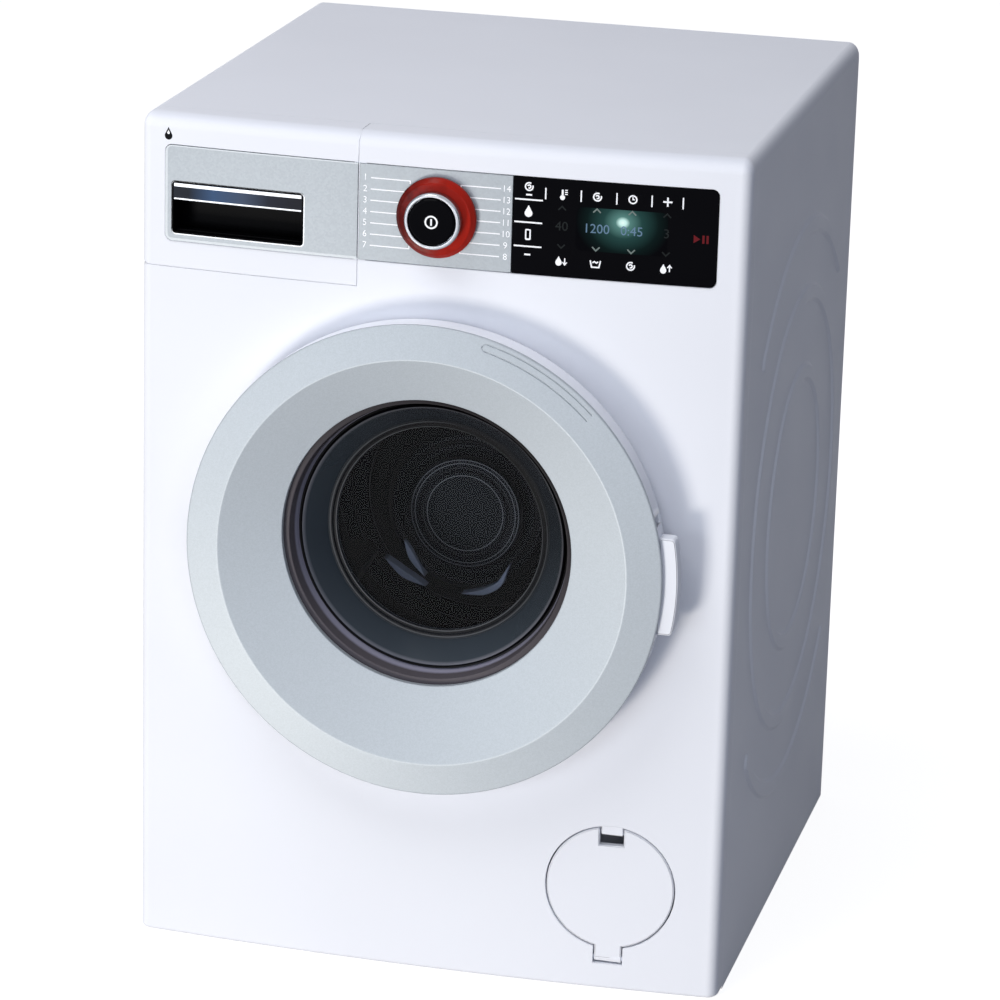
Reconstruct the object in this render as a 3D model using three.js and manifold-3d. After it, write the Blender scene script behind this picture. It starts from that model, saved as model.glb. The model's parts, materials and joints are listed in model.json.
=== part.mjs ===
// Toy washing machine: a front loader with a door, soap drawer, programme knob, service flap and driven drum.
// Millimetres. X runs to the right, Y to the back and Z up. The origin lies under the middle of the machine.

import * as THREE from 'three';
import { mergeVertices } from 'three/addons/utils/BufferGeometryUtils.js';
import Module from 'manifold-3d';

const wasm = await Module();
wasm.setup();

// Cabinet
const cabinetWidth = 185;
const cabinetDepth = 180;
const cabinetHeight = 262;
const frontBow = 4;
const frontMouldingDepth = 8.5;
const topEdgeRadius = 4.6;
const frontEdgeRadius = 3.5;
const bottomEdgeRadius = 1.2;
const wall = 2.2;
const innerWall = 1.6;

// Clearances, and how far a cutting tool runs past what it cuts
const fitGap = 0.3;
const seamGap = 0.4;
const overrun = 2;

// Relief rings on the cabinet's sides
const reliefHeight = 0.9;
const reliefWidth = 6.5;
const reliefSlope = 1.1;
const reliefRoot = 0.6;
const reliefInnerRadius = 43;
const reliefMiddleRadius = 68.3;
const reliefOuterRadius = 90;
const reliefCentreY = 5;
const reliefDrop = 1.5;
const reliefArcHalfAngle = THREE.MathUtils.degToRad(45);

// Door: distances in front are measured from the cabinet's front edge plane
const doorTopGap = 7.2;
const doorRadius = 73.3;
const doorBevelWidth = 10.3;
const doorCrestWidth = 2.6;
const doorCrestAhead = 16;
const doorEdgeAhead = 14;
const doorEdgeBevel = 0.5;
const doorEdgeThickness = 1;
const doorBackAhead = 4.4;
const doorRimChamfer = 1;
const doorRimWall = 2.4;
const doorBackPlate = 1.5;
const windowRise = 4.5;
const windowRadius = 44.7;
const windowEdgeAhead = 9.4;
const windowLip = 1.8;
const windowFlange = 1.1;
const windowFlangeWidth = 7;
const windowThickness = 1.6;
const bowlMouthInset = 1.7;
const bowlThroatInset = 3.7;
const bowlShoulderInset = 6.1;
const bowlFloorInset = 15.2;
const bowlDepth = 14.5;
const gripOverhang = 4.7;
const gripHeight = 30;
const gripCornerRadius = 1.5;
const gripThickness = 4.5;
const rimNotchAbove = 4.3;
const rimNotchHeight = 3;
const rimNotchDepth = 2;
const ringMarkInset = 1.5;
const ringMarkWidth = 2.5;
const ringMarkLine = 0.5;
const ringMarkDepth = 0.3;
const ringMarkStart = THREE.MathUtils.degToRad(45);
const ringMarkEnd = THREE.MathUtils.degToRad(75);

// Door hinge and latch
const hingeInset = 4.8;
const hingeAhead = 8.5;
const hingePinRadius = 1.2;
const hingeEyeRadius = 2.6;
const hingeEyeHeight = 6.2;
const hingeShankThickness = 3.6;
const hingeKnuckleHeight = 6.2;
const hingeKnuckleWidth = 9.4;
const hingeFlangeWidth = 12;
const hingeFlangeHeight = 13;
const hingeFlangeThickness = 2.2;
const latchInset = 6.3;
const latchThickness = 3;
const latchHeight = 6;
const latchLength = 6.6;
const latchBarb = 1;
const latchSlotPlay = 0.8;
const catchWidth = 4;
const catchHeight = 10;
const catchDepth = 5;

// Door seal
const sealOpeningMargin = 4.3;
const sealLipInset = 2.9;
const sealFlangeMargin = 2.8;
const sealFrontBehind = 2.4;
const sealLipThickness = 1.2;
const sealWall = 2.4;

// Drum, tub and shaft
const tubRadius = 52;
const tubMouthInset = 7.5;
const tubFrontBehind = 4.8;
const tubDepth = 62.2;
const tubEarRadius = 4.6;
const tubEarReach = 6.5;
const tubEarThickness = 2.6;
const tubEarCount = 4;
const drumClearance = 4;
const drumMouthInset = 4.5;
const drumDepth = 55;
const drumBackRim = 5;
const drumBackStep = 2.6;
const drumConeRadius = 41;
const drumBossRadius = 17.5;
const drumBossRise = 17;
const drumBossFaceRise = 2;
const drumBossGroove = 1.2;
const drumBossGrooveRadius = 14;
const drumHubRadius = 6;
const drumHubLength = 21.8;
const drumSocketDepth = 14.5;
const vaneCount = 3;
const vaneHeight = 9.5;
const vaneBaseWidth = 13;
const vaneTopWidth = 5;
const vaneLength = 43;
const shaftRadius = 3;
const bushWall = 1.7;
const bushFlange = 2;
const bushFlangeThickness = 1.2;

// Gear train behind the tub
const gearModule = 1.5;
const wheelModule = 1;
const drumGearTeeth = 40;
const idlerPinionTeeth = 10;
const idlerWheelTeeth = 32;
const motorPinionTeeth = 10;
const gearWidth = 6;
const wheelWidth = 3;
const gearGap = 1.3;
const gearBacklash = 0.16;
const addendumShare = 0.9;
const dedendumShare = 1.25;
const pressureAngle = THREE.MathUtils.degToRad(25);
const idlerDirection = THREE.MathUtils.degToRad(225);
const motorDirection = THREE.MathUtils.degToRad(315);
const idlerPinRadius = 1.5;
const gearCoverInset = 2;
const gearCoverThickness = 2;
const gearPostRadius = 3;
const gearPostInset = 7;
const gearPostCount = 3;
const gearPostTurn = THREE.MathUtils.degToRad(30);

// Motor
const motorRadius = 10;
const motorFlat = 7.5;
const motorLength = 25;
const motorShaftRadius = 1;
const motorBossRadius = 3.1;
const motorBossLength = 1.7;
const motorSleeveLength = 12;

// Fascia: plates, display and their recesses
const fasciaTopDrop = 9.3;
const fasciaHeight = 29.1;
const fasciaLeftMargin = 7.8;
const fasciaRightMargin = 9.4;
const fasciaCornerRadius = 2.1;
const displayEdgeShare = 0.2449;
const plateThickness = 1;
const plateProud = 0.25;

// Soap drawer
const drawerEdgeShare = 0.2605;
const drawerSkirt = 8.4;
const gripCupLeftInset = 1.8;
const gripCupRightInset = 16.6;
const gripCupBottomInset = 2;
const gripCupHeight = 16.5;
const gripCupDepth = 9;
const gripCupWall = 1.2;
const gripCupCornerRadius = 1.2;
const gripBarHeight = 5.85;
const gripBarThickness = 2.1;
const trayDepth = 52;
const trayHeight = 28;
const trayDividerThickness = 1.4;
const trayFirstDividerShare = 0.36;
const traySecondDividerShare = 0.68;
const housingWall = 1.8;
const housingHeight = 33;
const housingFloorDrop = 1.9;
const spoutRadius = 4;
const spoutWall = 1.2;
const spoutLength = 7;
const spoutInset = 25.9;
const spoutY = -55;
const inletX = -24;
const inletRise = 3.3;
const hoseBend = 4;

// Programme knob and power button
const dialTopInset = 14.2;
const dialRingRadius = 12.1;
const dialRingHeight = 3;
const dialRingEdge = 1.2;
const dialRingBevel = 1.1;
const bezelRadius = 8.5;
const bezelTopRadius = 7.9;
const bezelHeight = 3.1;
const bezelEdge = 0.5;
const bezelWall = 0.6;
const bezelCupDepth = 4.6;
const buttonCapThickness = 2.5;
const buttonProud = 0.2;
const buttonStemRadius = 1.3;
const buttonTravel = 1.5;
const hubRadius = 3.8;
const hubLength = 9.7;
const switchSize = 14;
const switchDepth = 6.7;
const switchFloor = 0.7;
const boardThickness = 1.6;
const boardLeftInset = 5.1;
const boardRightMargin = 0.9;
const boardMargin = 0.5;
const boardBehind = 8;
const boardPostRadius = 2.4;
const boardPostInset = 4;

// Service flap and the pocket behind it
const flapSideInset = 33.9;
const flapZ = 33.4;
const flapRadius = 19.6;
const flapTabWidth = 8.3;
const flapTabBottomZ = 8.8;
const flapNotchWidth = 7.5;
const flapNotchHeight = 5.8;
const flapBarrelRadius = 1.4;
const flapTrunnionRadius = 0.8;
const flapTrunnionLength = 2.5;
const flapEarWidth = 3.6;
const flapEarHeight = 5.6;
const flapEarDepth = 5.5;
const snapBarHeight = 2.6;
const snapBarThickness = 1.4;
const snapBarSetBack = 0.5;
const pocketRadius = 22.4;
const pocketDepth = 16;

// Rear cover, base, battery bay and drain
const baseThickness = 2.2;
const ventCount = 6;
const ventWidth = 60;
const ventHeight = 3;
const ventPitch = 6.5;
const ventMiddleDrop = 62;
const screwBossRadius = 4.3;
const screwBossLength = 27;
const screwHeadRadius = 3;
const screwHeadHeight = 1.3;
const screwShankRadius = 1.3;
const screwShankLength = 13;
const screwBossBottomZ = 14;
const screwBossTopDrop = 14;
const bayWidth = 62;
const bayHeight = 52;
const bayBottomZ = 9;
const bayDepth = 19;
const bayLip = 2;
const bayBossRadius = 4.6;
const contactThickness = 0.5;
const contactHeight = 40;
const contactDepth = 12;
const outletSideInset = 32.5;
const outletZ = 28;
const outletRadius = 6;
const outletFlangeRadius = 9;
const outletFlangeThickness = 1.4;
const outletBore = 3.4;
const outletLength = 9;
const drainY = -40;
const drainStubLength = 6;

// Fineness of round shapes, as numbers of sides or steps
const frontSteps = 14;
const edgeSteps = 3;
const largeSides = 40;
const mediumSides = 30;
const innerSides = 24;
const knobSides = 24;
const smallSides = 12;
const tinySides = 8;
const ventEndSides = 2;

// Planes, places and radii that follow from the sizes above
const halfWidth = cabinetWidth / 2;
const frontY = -cabinetDepth / 2;
const backY = cabinetDepth / 2;
const seamY = frontY + frontMouldingDepth;
const reliefCentreZ = cabinetHeight / 2 - reliefDrop;
const fasciaTopZ = cabinetHeight - fasciaTopDrop;
const fasciaBottomZ = fasciaTopZ - fasciaHeight;
const fasciaLeftX = -halfWidth + fasciaLeftMargin;
const fasciaRightX = halfWidth - fasciaRightMargin;
const displayEdgeX = halfWidth * displayEdgeShare;
const drawerEdgeX = -halfWidth * drawerEdgeShare;
const drawerBottomZ = fasciaBottomZ - drawerSkirt;
const gripCupLeftX = fasciaLeftX + gripCupLeftInset;
const gripCupRightX = drawerEdgeX - gripCupRightInset;
const gripCupBottomZ = fasciaBottomZ + gripCupBottomInset;
const gripCupTopZ = gripCupBottomZ + gripCupHeight;
const gripBarBottomZ = gripCupTopZ - gripBarHeight;
const dialZ = fasciaTopZ - dialTopInset;
const boardLeftX = drawerEdgeX + boardLeftInset;
const boardRightX = fasciaRightX + boardRightMargin;
const boardBottomZ = fasciaBottomZ - boardMargin;
const boardTopZ = fasciaTopZ + boardMargin;
const doorCentreZ = drawerBottomZ - doorTopGap - doorRadius;
const doorCrestRadius = doorRadius - doorBevelWidth;
const gripReach = doorRadius + gripOverhang;
const hingeX = -doorRadius + hingeInset;
const latchX = doorRadius - latchInset;
const windowZ = doorCentreZ + windowRise;
const bowlMouthRadius = windowRadius - bowlMouthInset;
const bowlThroatRadius = windowRadius - bowlThroatInset;
const bowlShoulderRadius = windowRadius - bowlShoulderInset;
const bowlFloorRadius = windowRadius - bowlFloorInset;
const sealOpeningRadius = windowRadius + sealOpeningMargin;
const sealLipRadius = windowRadius - sealLipInset;
const sealFlangeRadius = sealOpeningRadius + sealFlangeMargin;
const tubMouthRadius = tubRadius - tubMouthInset;
const tubEarCircle = tubRadius + tubEarReach;
const drumRadius = tubRadius - drumClearance;
const drumMouthRadius = drumRadius - drumMouthInset;
const gearCoverRadius = tubRadius - gearCoverInset;
const gearPostCircle = tubRadius - gearPostInset;
const spoutX = drawerEdgeX - spoutInset;
const inletTopZ = doorCentreZ + tubRadius + inletRise;
const flapX = halfWidth - flapSideInset;
const ventMiddleZ = cabinetHeight - ventMiddleDrop;
const outletX = halfWidth - outletSideInset;
const hingeY = frontY - hingeAhead;
const middleFrontY = frontY - frontBow;
const tubFrontY = frontY + tubFrontBehind;
const tubBackY = tubFrontY + tubDepth;
const drumFrontY = tubFrontY + innerWall + 2 * fitGap;
const drumBackY = drumFrontY + drumDepth;
const drumInnerRadius = drumRadius - innerWall;
const drumRimY = drumBackY - drumBackRim;
const wheelFromY = tubBackY + gearGap + innerWall;
const gearFromY = wheelFromY + wheelWidth + gearGap;
const gearToY = gearFromY + gearWidth;
const gearCoverY = gearToY + 2 * gearGap;
const idlerDistance = gearModule * (drumGearTeeth + idlerPinionTeeth) / 2;
const motorDistance = wheelModule * (idlerWheelTeeth + motorPinionTeeth) / 2;
const plateRecess = plateThickness - plateProud + fitGap;
const boardFrontY = frontY + boardBehind;
const dialBackY = middleFrontY - plateProud - fitGap;
const dialRingFrontY = dialBackY - dialRingHeight;
const bezelBackY = dialRingFrontY - fitGap;
const bezelFrontY = bezelBackY - bezelHeight;
const rearCoverY = backY - wall;
const motorFrontY = gearCoverY + gearCoverThickness + fitGap;

// Finishes
const whitePlastic = { color: 0xeef0f5, roughness: 0.35, metalness: 0 };
const silverPaint = { color: 0xc9ced4, roughness: 0.32, metalness: 0.6 };
const silverFoil = { color: 0xb9bfc5, roughness: 0.4, metalness: 0.5 };
const blackGloss = { color: 0x0b0c10, roughness: 0.12, metalness: 0 };
const blackPlastic = { color: 0x16181c, roughness: 0.45, metalness: 0 };
const darkGlass = { color: 0x20242c, roughness: 0.08, metalness: 0, transparent: true, opacity: 0.45 };
const darkBlueGloss = { color: 0x10183c, roughness: 0.15, metalness: 0.1 };
const redClear = { color: 0xb02418, roughness: 0.15, metalness: 0 };
const drumGrey = { color: 0x23262c, roughness: 0.4, metalness: 0 };
const sealRubber = { color: 0x2b2c33, roughness: 0.6, metalness: 0 };
const tubGrey = { color: 0x8d9298, roughness: 0.5, metalness: 0 };
const gearWhite = { color: 0xe4e2d8, roughness: 0.45, metalness: 0 };
const steel = { color: 0xb4b7bb, roughness: 0.3, metalness: 0.9 };
const brass = { color: 0xc2a05a, roughness: 0.35, metalness: 0.9 };
const boardGreen = { color: 0x1f5a36, roughness: 0.5, metalness: 0 };
const clearHose = { color: 0xd8dde0, roughness: 0.3, metalness: 0 };

// Six times the volume that the triangles enclose; negative when they face inwards
function signedVolume(corners, triangles) {
  const a = new THREE.Vector3();
  const b = new THREE.Vector3();
  const c = new THREE.Vector3();
  let total = 0;
  for (let i = 0; i < triangles.length; i += 3) {
    a.fromArray(corners, 3 * triangles[i]);
    b.fromArray(corners, 3 * triangles[i + 1]);
    c.fromArray(corners, 3 * triangles[i + 2]);
    total += a.dot(b.cross(c));
  }
  return total;
}

// A solid from closed triangles: shared corners merged, collapsed triangles dropped, faces turned outwards
function solidOf(geometry) {
  const bare = new THREE.BufferGeometry();
  bare.setAttribute('position', geometry.getAttribute('position').clone());
  bare.setIndex(geometry.index);
  const merged = mergeVertices(bare);
  const corners = merged.getAttribute('position').array;
  const index = merged.index.array;
  const triangles = [];
  for (let i = 0; i < index.length; i += 3) {
    const [a, b, c] = [index[i], index[i + 1], index[i + 2]];
    if (a !== b && b !== c && c !== a) triangles.push(a, b, c);
  }
  if (signedVolume(corners, triangles) < 0) triangles.reverse();
  return new wasm.Manifold(new wasm.Mesh({
    numProp: 3,
    vertProperties: new Float32Array(corners),
    triVerts: new Uint32Array(triangles),
  }));
}

function geometryOf(solid) {
  const { vertProperties, triVerts } = solid.getMesh();
  const geometry = new THREE.BufferGeometry();
  geometry.setAttribute('position', new THREE.BufferAttribute(new Float32Array(vertProperties), 3));
  geometry.setIndex(new THREE.BufferAttribute(new Uint32Array(triVerts), 1));
  geometry.computeVertexNormals();
  return geometry;
}

function piece(name, solid, finish) {
  const material = new THREE.MeshStandardMaterial({ ...finish, flatShading: true });
  const mesh = new THREE.Mesh(geometryOf(solid), material);
  mesh.name = name;
  return mesh;
}

function join(first, ...others) {
  return others.reduce((whole, other) => whole.add(other), first);
}

function cut(first, ...tools) {
  return tools.reduce((rest, tool) => rest.subtract(tool), first);
}

// Prisms: an outline's coordinates are the two axes across the prism, and each of its arcs gets `sides` steps
function extrusion(shape, length, sides) {
  return new THREE.ExtrudeGeometry(shape, { depth: length, bevelEnabled: false, curveSegments: sides / 2 });
}

function prismAlongX(shape, fromX, toX, sides = smallSides) {
  const turn = new THREE.Matrix4().makeBasis(
    new THREE.Vector3(0, 1, 0), new THREE.Vector3(0, 0, 1), new THREE.Vector3(1, 0, 0));
  return solidOf(extrusion(shape, toX - fromX, sides).applyMatrix4(turn).translate(fromX, 0, 0));
}

function prismAlongY(shape, fromY, toY, sides = smallSides) {
  return solidOf(extrusion(shape, toY - fromY, sides).rotateX(Math.PI / 2).translate(0, toY, 0));
}

function prismAlongZ(shape, fromZ, toZ, sides = smallSides) {
  return solidOf(extrusion(shape, toZ - fromZ, sides).translate(0, 0, fromZ));
}

function block(fromX, toX, fromY, toY, fromZ, toZ) {
  const box = new THREE.BoxGeometry(toX - fromX, toY - fromY, toZ - fromZ);
  return solidOf(box.translate((fromX + toX) / 2, (fromY + toY) / 2, (fromZ + toZ) / 2));
}

function rodAlongX(radius, fromX, toX, y, z, sides = tinySides) {
  const rod = new THREE.CylinderGeometry(radius, radius, toX - fromX, sides);
  return solidOf(rod.rotateZ(Math.PI / 2).translate((fromX + toX) / 2, y, z));
}

function rodAlongY(radius, fromY, toY, x = 0, z = 0, sides = smallSides) {
  const rod = new THREE.CylinderGeometry(radius, radius, toY - fromY, sides);
  return solidOf(rod.translate(x, (fromY + toY) / 2, z));
}

function rodAlongZ(radius, fromZ, toZ, x, y, sides = tinySides) {
  const rod = new THREE.CylinderGeometry(radius, radius, toZ - fromZ, sides);
  return solidOf(rod.rotateX(Math.PI / 2).translate(x, y, (fromZ + toZ) / 2));
}

// A revolve about Y of a closed profile of [radius, y] points; one that ends on the axis is closed by it
function turned(profile, sides = mediumSides, z = 0) {
  const points = profile.map(([radius, y]) => new THREE.Vector2(radius, y));
  if (profile[0][0] > 0) points.push(points[0].clone());
  return solidOf(new THREE.LatheGeometry(points, sides).translate(0, 0, z));
}

// A closed ring through circles that differ in radius, depth and centre height
function ringThroughCircles(circles, sides) {
  const corners = [];
  const triangles = [];
  circles.forEach(([radius, y, z]) => {
    for (let side = 0; side < sides; side += 1) {
      const angle = 2 * Math.PI * side / sides;
      corners.push(radius * Math.sin(angle), y, z + radius * Math.cos(angle));
    }
  });
  circles.forEach((circle, ring) => {
    const here = ring * sides;
    const next = ((ring + 1) % circles.length) * sides;
    for (let side = 0; side < sides; side += 1) {
      const after = (side + 1) % sides;
      triangles.push(here + side, next + side, here + after);
      triangles.push(here + after, next + side, next + after);
    }
  });
  return meshSolid(corners, triangles);
}

function meshSolid(corners, triangles) {
  const geometry = new THREE.BufferGeometry();
  geometry.setAttribute('position', new THREE.Float32BufferAttribute(corners, 3));
  geometry.setIndex(triangles);
  return solidOf(geometry);
}

// Outlines
function rectangle(fromU, toU, fromV, toV, grow = 0) {
  const shape = new THREE.Shape();
  shape.moveTo(fromU - grow, fromV - grow);
  shape.lineTo(toU + grow, fromV - grow);
  shape.lineTo(toU + grow, toV + grow);
  shape.lineTo(fromU - grow, toV + grow);
  shape.closePath();
  return shape;
}

// A rectangle with rounded left corners, right corners or both
function roundedRectangle(fromU, toU, fromV, toV, leftRadius, rightRadius) {
  const shape = new THREE.Shape();
  const quarter = Math.PI / 2;
  shape.moveTo(fromU + leftRadius, fromV);
  shape.lineTo(toU - rightRadius, fromV);
  if (rightRadius > 0) shape.absarc(toU - rightRadius, fromV + rightRadius, rightRadius, -quarter, 0);
  shape.lineTo(toU, toV - rightRadius);
  if (rightRadius > 0) shape.absarc(toU - rightRadius, toV - rightRadius, rightRadius, 0, quarter);
  shape.lineTo(fromU + leftRadius, toV);
  if (leftRadius > 0) shape.absarc(fromU + leftRadius, toV - leftRadius, leftRadius, quarter, 2 * quarter);
  shape.lineTo(fromU, fromV + leftRadius);
  if (leftRadius > 0) {
    shape.absarc(fromU + leftRadius, fromV + leftRadius, leftRadius, 2 * quarter, 3 * quarter);
  }
  shape.closePath();
  return shape;
}

function polygon(points) {
  return new THREE.Shape(points.map(([u, v]) => new THREE.Vector2(u, v)));
}

// The front of the cabinet bows forward between its two vertical edges
function frontAt(x) {
  return frontY - frontBow * (1 - (x / halfWidth) ** 2);
}

// How far a rounded edge falls back at a distance from the middle of a face that reaches out to `reach`
function edgeDrop(across, reach, radius) {
  const past = Math.max(0, Math.abs(across) - (reach - radius));
  return radius - Math.sqrt(Math.max(0, radius ** 2 - past ** 2));
}

// Places across the front: even steps over the flat of the top, then steps round both top corners
function crossStations(inset) {
  const flat = halfWidth - topEdgeRadius;
  const radius = topEdgeRadius - inset;
  const stations = [];
  for (let i = 0; i <= frontSteps; i += 1) stations.push(-flat + 2 * flat * i / frontSteps);
  for (let i = 1; i <= edgeSteps; i += 1) {
    const past = radius * Math.sin(Math.PI / 2 * i / edgeSteps);
    stations.push(flat + past);
    stations.unshift(-flat - past);
  }
  return stations;
}

// The section of the front moulding's blank at x, set in from the outside all round
function frontSection(x, inset, toY) {
  const reach = halfWidth - inset;
  const front = frontAt(x) + inset + edgeDrop(x, reach, frontEdgeRadius - inset);
  const top = cabinetHeight - inset - edgeDrop(x, reach, topEdgeRadius - inset);
  const topRadius = topEdgeRadius - inset;
  const section = [[toY, inset], [front + bottomEdgeRadius, inset], [front, inset + bottomEdgeRadius]];
  for (let i = 0; i <= edgeSteps; i += 1) {
    const angle = Math.PI / 2 * i / edgeSteps;
    section.push([
      front + topRadius * (1 - Math.cos(angle)),
      top - topRadius * (1 - Math.sin(angle)),
    ]);
  }
  section.push([toY, top]);
  return section;
}

// The front moulding's outer body: sections lofted from side to side
function frontBlank(inset, toY) {
  const stations = crossStations(inset);
  const sections = stations.map((x) => frontSection(x, inset, toY));
  const count = sections[0].length;
  const corners = sections.flatMap((section, i) => section.flatMap(([y, z]) => [stations[i], y, z]));
  const triangles = [];
  for (let i = 0; i + 1 < sections.length; i += 1) {
    for (let j = 0; j < count; j += 1) {
      const next = (j + 1) % count;
      const [a, b] = [i * count + j, i * count + next];
      triangles.push(a, b, a + count, b, b + count, a + count);
    }
  }
  const last = (sections.length - 1) * count;
  for (let j = 1; j + 1 < count; j += 1) {
    triangles.push(0, j + 1, j, last, last + j, last + j + 1);
  }
  return meshSolid(corners, triangles);
}

// A sheet that follows the bow of the front, standing a little proud of it
function bowedSheet(proud, depth) {
  const steps = Array.from({ length: frontSteps + 1 }, (_, i) => -halfWidth + cabinetWidth * i / frontSteps);
  const outer = steps.map((x) => [x, frontAt(x) - proud]);
  const inner = steps.map((x) => [x, frontAt(x) - proud + depth]).reverse();
  return prismAlongZ(polygon([...outer, ...inner]), 0, cabinetHeight);
}

// Everything that lies in front of the moulding's back face, and a gap behind it for what rests there
function spaceInFront() {
  const steps = Array.from({ length: frontSteps + 1 }, (_, i) => -halfWidth + cabinetWidth * i / frontSteps);
  const bowed = steps.map((x) => [x, frontAt(x) + wall + fitGap]).reverse();
  const farY = middleFrontY - overrun;
  return prismAlongZ(polygon([[-halfWidth, farY], [halfWidth, farY], ...bowed]), 0, cabinetHeight);
}

// A front-view outline taken right through the front moulding
function throughFront(shape, sides) {
  return prismAlongY(shape, middleFrontY - overrun, seamY + overrun, sides);
}

function onFront(shape, proud, depth, sides) {
  return throughFront(shape, sides).intersect(bowedSheet(proud, depth));
}

// The corner of the front that the soap drawer takes, made smaller or larger
function drawerCorner(grow) {
  return block(
    -halfWidth - overrun, drawerEdgeX + grow,
    middleFrontY - overrun, seamY + 2 * overrun,
    drawerBottomZ - grow, cabinetHeight + overrun);
}

// Front outlines of the fascia's plates; the drawer's share ends at the drawer's edge
function drawerPlateOutline(grow) {
  return roundedRectangle(
    fasciaLeftX - grow, drawerEdgeX - seamGap / 2 + (grow > 0 ? overrun : 0),
    fasciaBottomZ - grow, fasciaTopZ + grow, fasciaCornerRadius + grow, 0);
}

function programmePlateOutline(grow) {
  return rectangle(
    drawerEdgeX + seamGap / 2 - (grow > 0 ? overrun : 0), displayEdgeX - fitGap / 2 + grow,
    fasciaBottomZ - grow, fasciaTopZ + grow);
}

function displayOutline(grow) {
  return roundedRectangle(
    displayEdgeX + fitGap / 2 - grow, fasciaRightX + grow,
    fasciaBottomZ - grow, fasciaTopZ + grow, 0, fasciaCornerRadius + grow);
}

function recessTool(shape) {
  return onFront(shape, overrun, overrun + plateRecess);
}

// Service flap: a disc with a finger notch at the top and a hinge tab at the bottom
const flapAxisY = frontAt(flapX) + flapBarrelRadius;
const flapAxisZ = flapTabBottomZ + flapBarrelRadius;

function flapOutline(grow) {
  const circle = new THREE.Shape().absarc(flapX, flapZ, flapRadius + grow, 0, 2 * Math.PI);
  const disc = throughFront(circle, mediumSides);
  const tabHalf = flapTabWidth / 2 + grow;
  const tabBottom = grow > 0 ? flapTabBottomZ - grow : flapAxisZ;
  const tab = throughFront(rectangle(flapX - tabHalf, flapX + tabHalf, tabBottom, flapZ));
  return join(disc, tab);
}

function serviceFlap() {
  const notchTop = flapZ + flapRadius + overrun;
  const notchBottom = flapZ + flapRadius - flapNotchHeight;
  const notch = throughFront(rectangle(
    flapX - flapNotchWidth / 2, flapX + flapNotchWidth / 2, notchBottom, notchTop));
  const leaf = flapOutline(0).intersect(bowedSheet(0, wall));
  const barrel = rodAlongX(
    flapBarrelRadius, flapX - flapTabWidth / 2, flapX + flapTabWidth / 2, flapAxisY, flapAxisZ, smallSides);
  const trunnionReach = flapTabWidth / 2 + flapTrunnionLength;
  const trunnions = rodAlongX(
    flapTrunnionRadius, flapX - trunnionReach, flapX + trunnionReach, flapAxisY, flapAxisZ);
  return piece('service_flap', join(cut(leaf, notch), barrel, trunnions), whitePlastic);
}

// The ears behind the front that hold the flap's trunnions
function flapEars(grow) {
  const inner = flapTabWidth / 2 + seamGap;
  const top = flapTabBottomZ - seamGap + flapEarHeight;
  return [-1, 1].map((side) => {
    const near = flapX + side * inner;
    const far = flapX + side * (inner + flapEarWidth + grow);
    return block(
      Math.min(near, far), Math.max(near, far),
      frontAt(flapX) + wall / 2, frontAt(flapX) + flapEarDepth + grow,
      flapTabBottomZ - seamGap - grow, top + grow);
  });
}

// The pocket behind the flap: a round cup that meets the back of the bowed front
function flapPocket() {
  const floorY = seamY + pocketDepth - frontMouldingDepth;
  const profile = [
    [pocketRadius, middleFrontY], [pocketRadius, floorY], [0, floorY], [0, floorY - innerWall],
    [pocketRadius - innerWall, floorY - innerWall], [pocketRadius - innerWall, middleFrontY],
  ];
  const points = profile.map(([radius, y]) => new THREE.Vector2(radius, y));
  points.push(points[0].clone());
  const cup = solidOf(new THREE.LatheGeometry(points, mediumSides).translate(flapX, 0, flapZ));
  const earSpan = flapTabWidth / 2 + seamGap + flapEarWidth + fitGap;
  const earSpace = block(
    flapX - earSpan, flapX + earSpan,
    middleFrontY - overrun, frontAt(flapX) + flapEarDepth + fitGap,
    0, flapTabBottomZ - seamGap + flapEarHeight + fitGap);
  return piece('flap_pocket', cut(cup, spaceInFront(), earSpace), whitePlastic);
}

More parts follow.
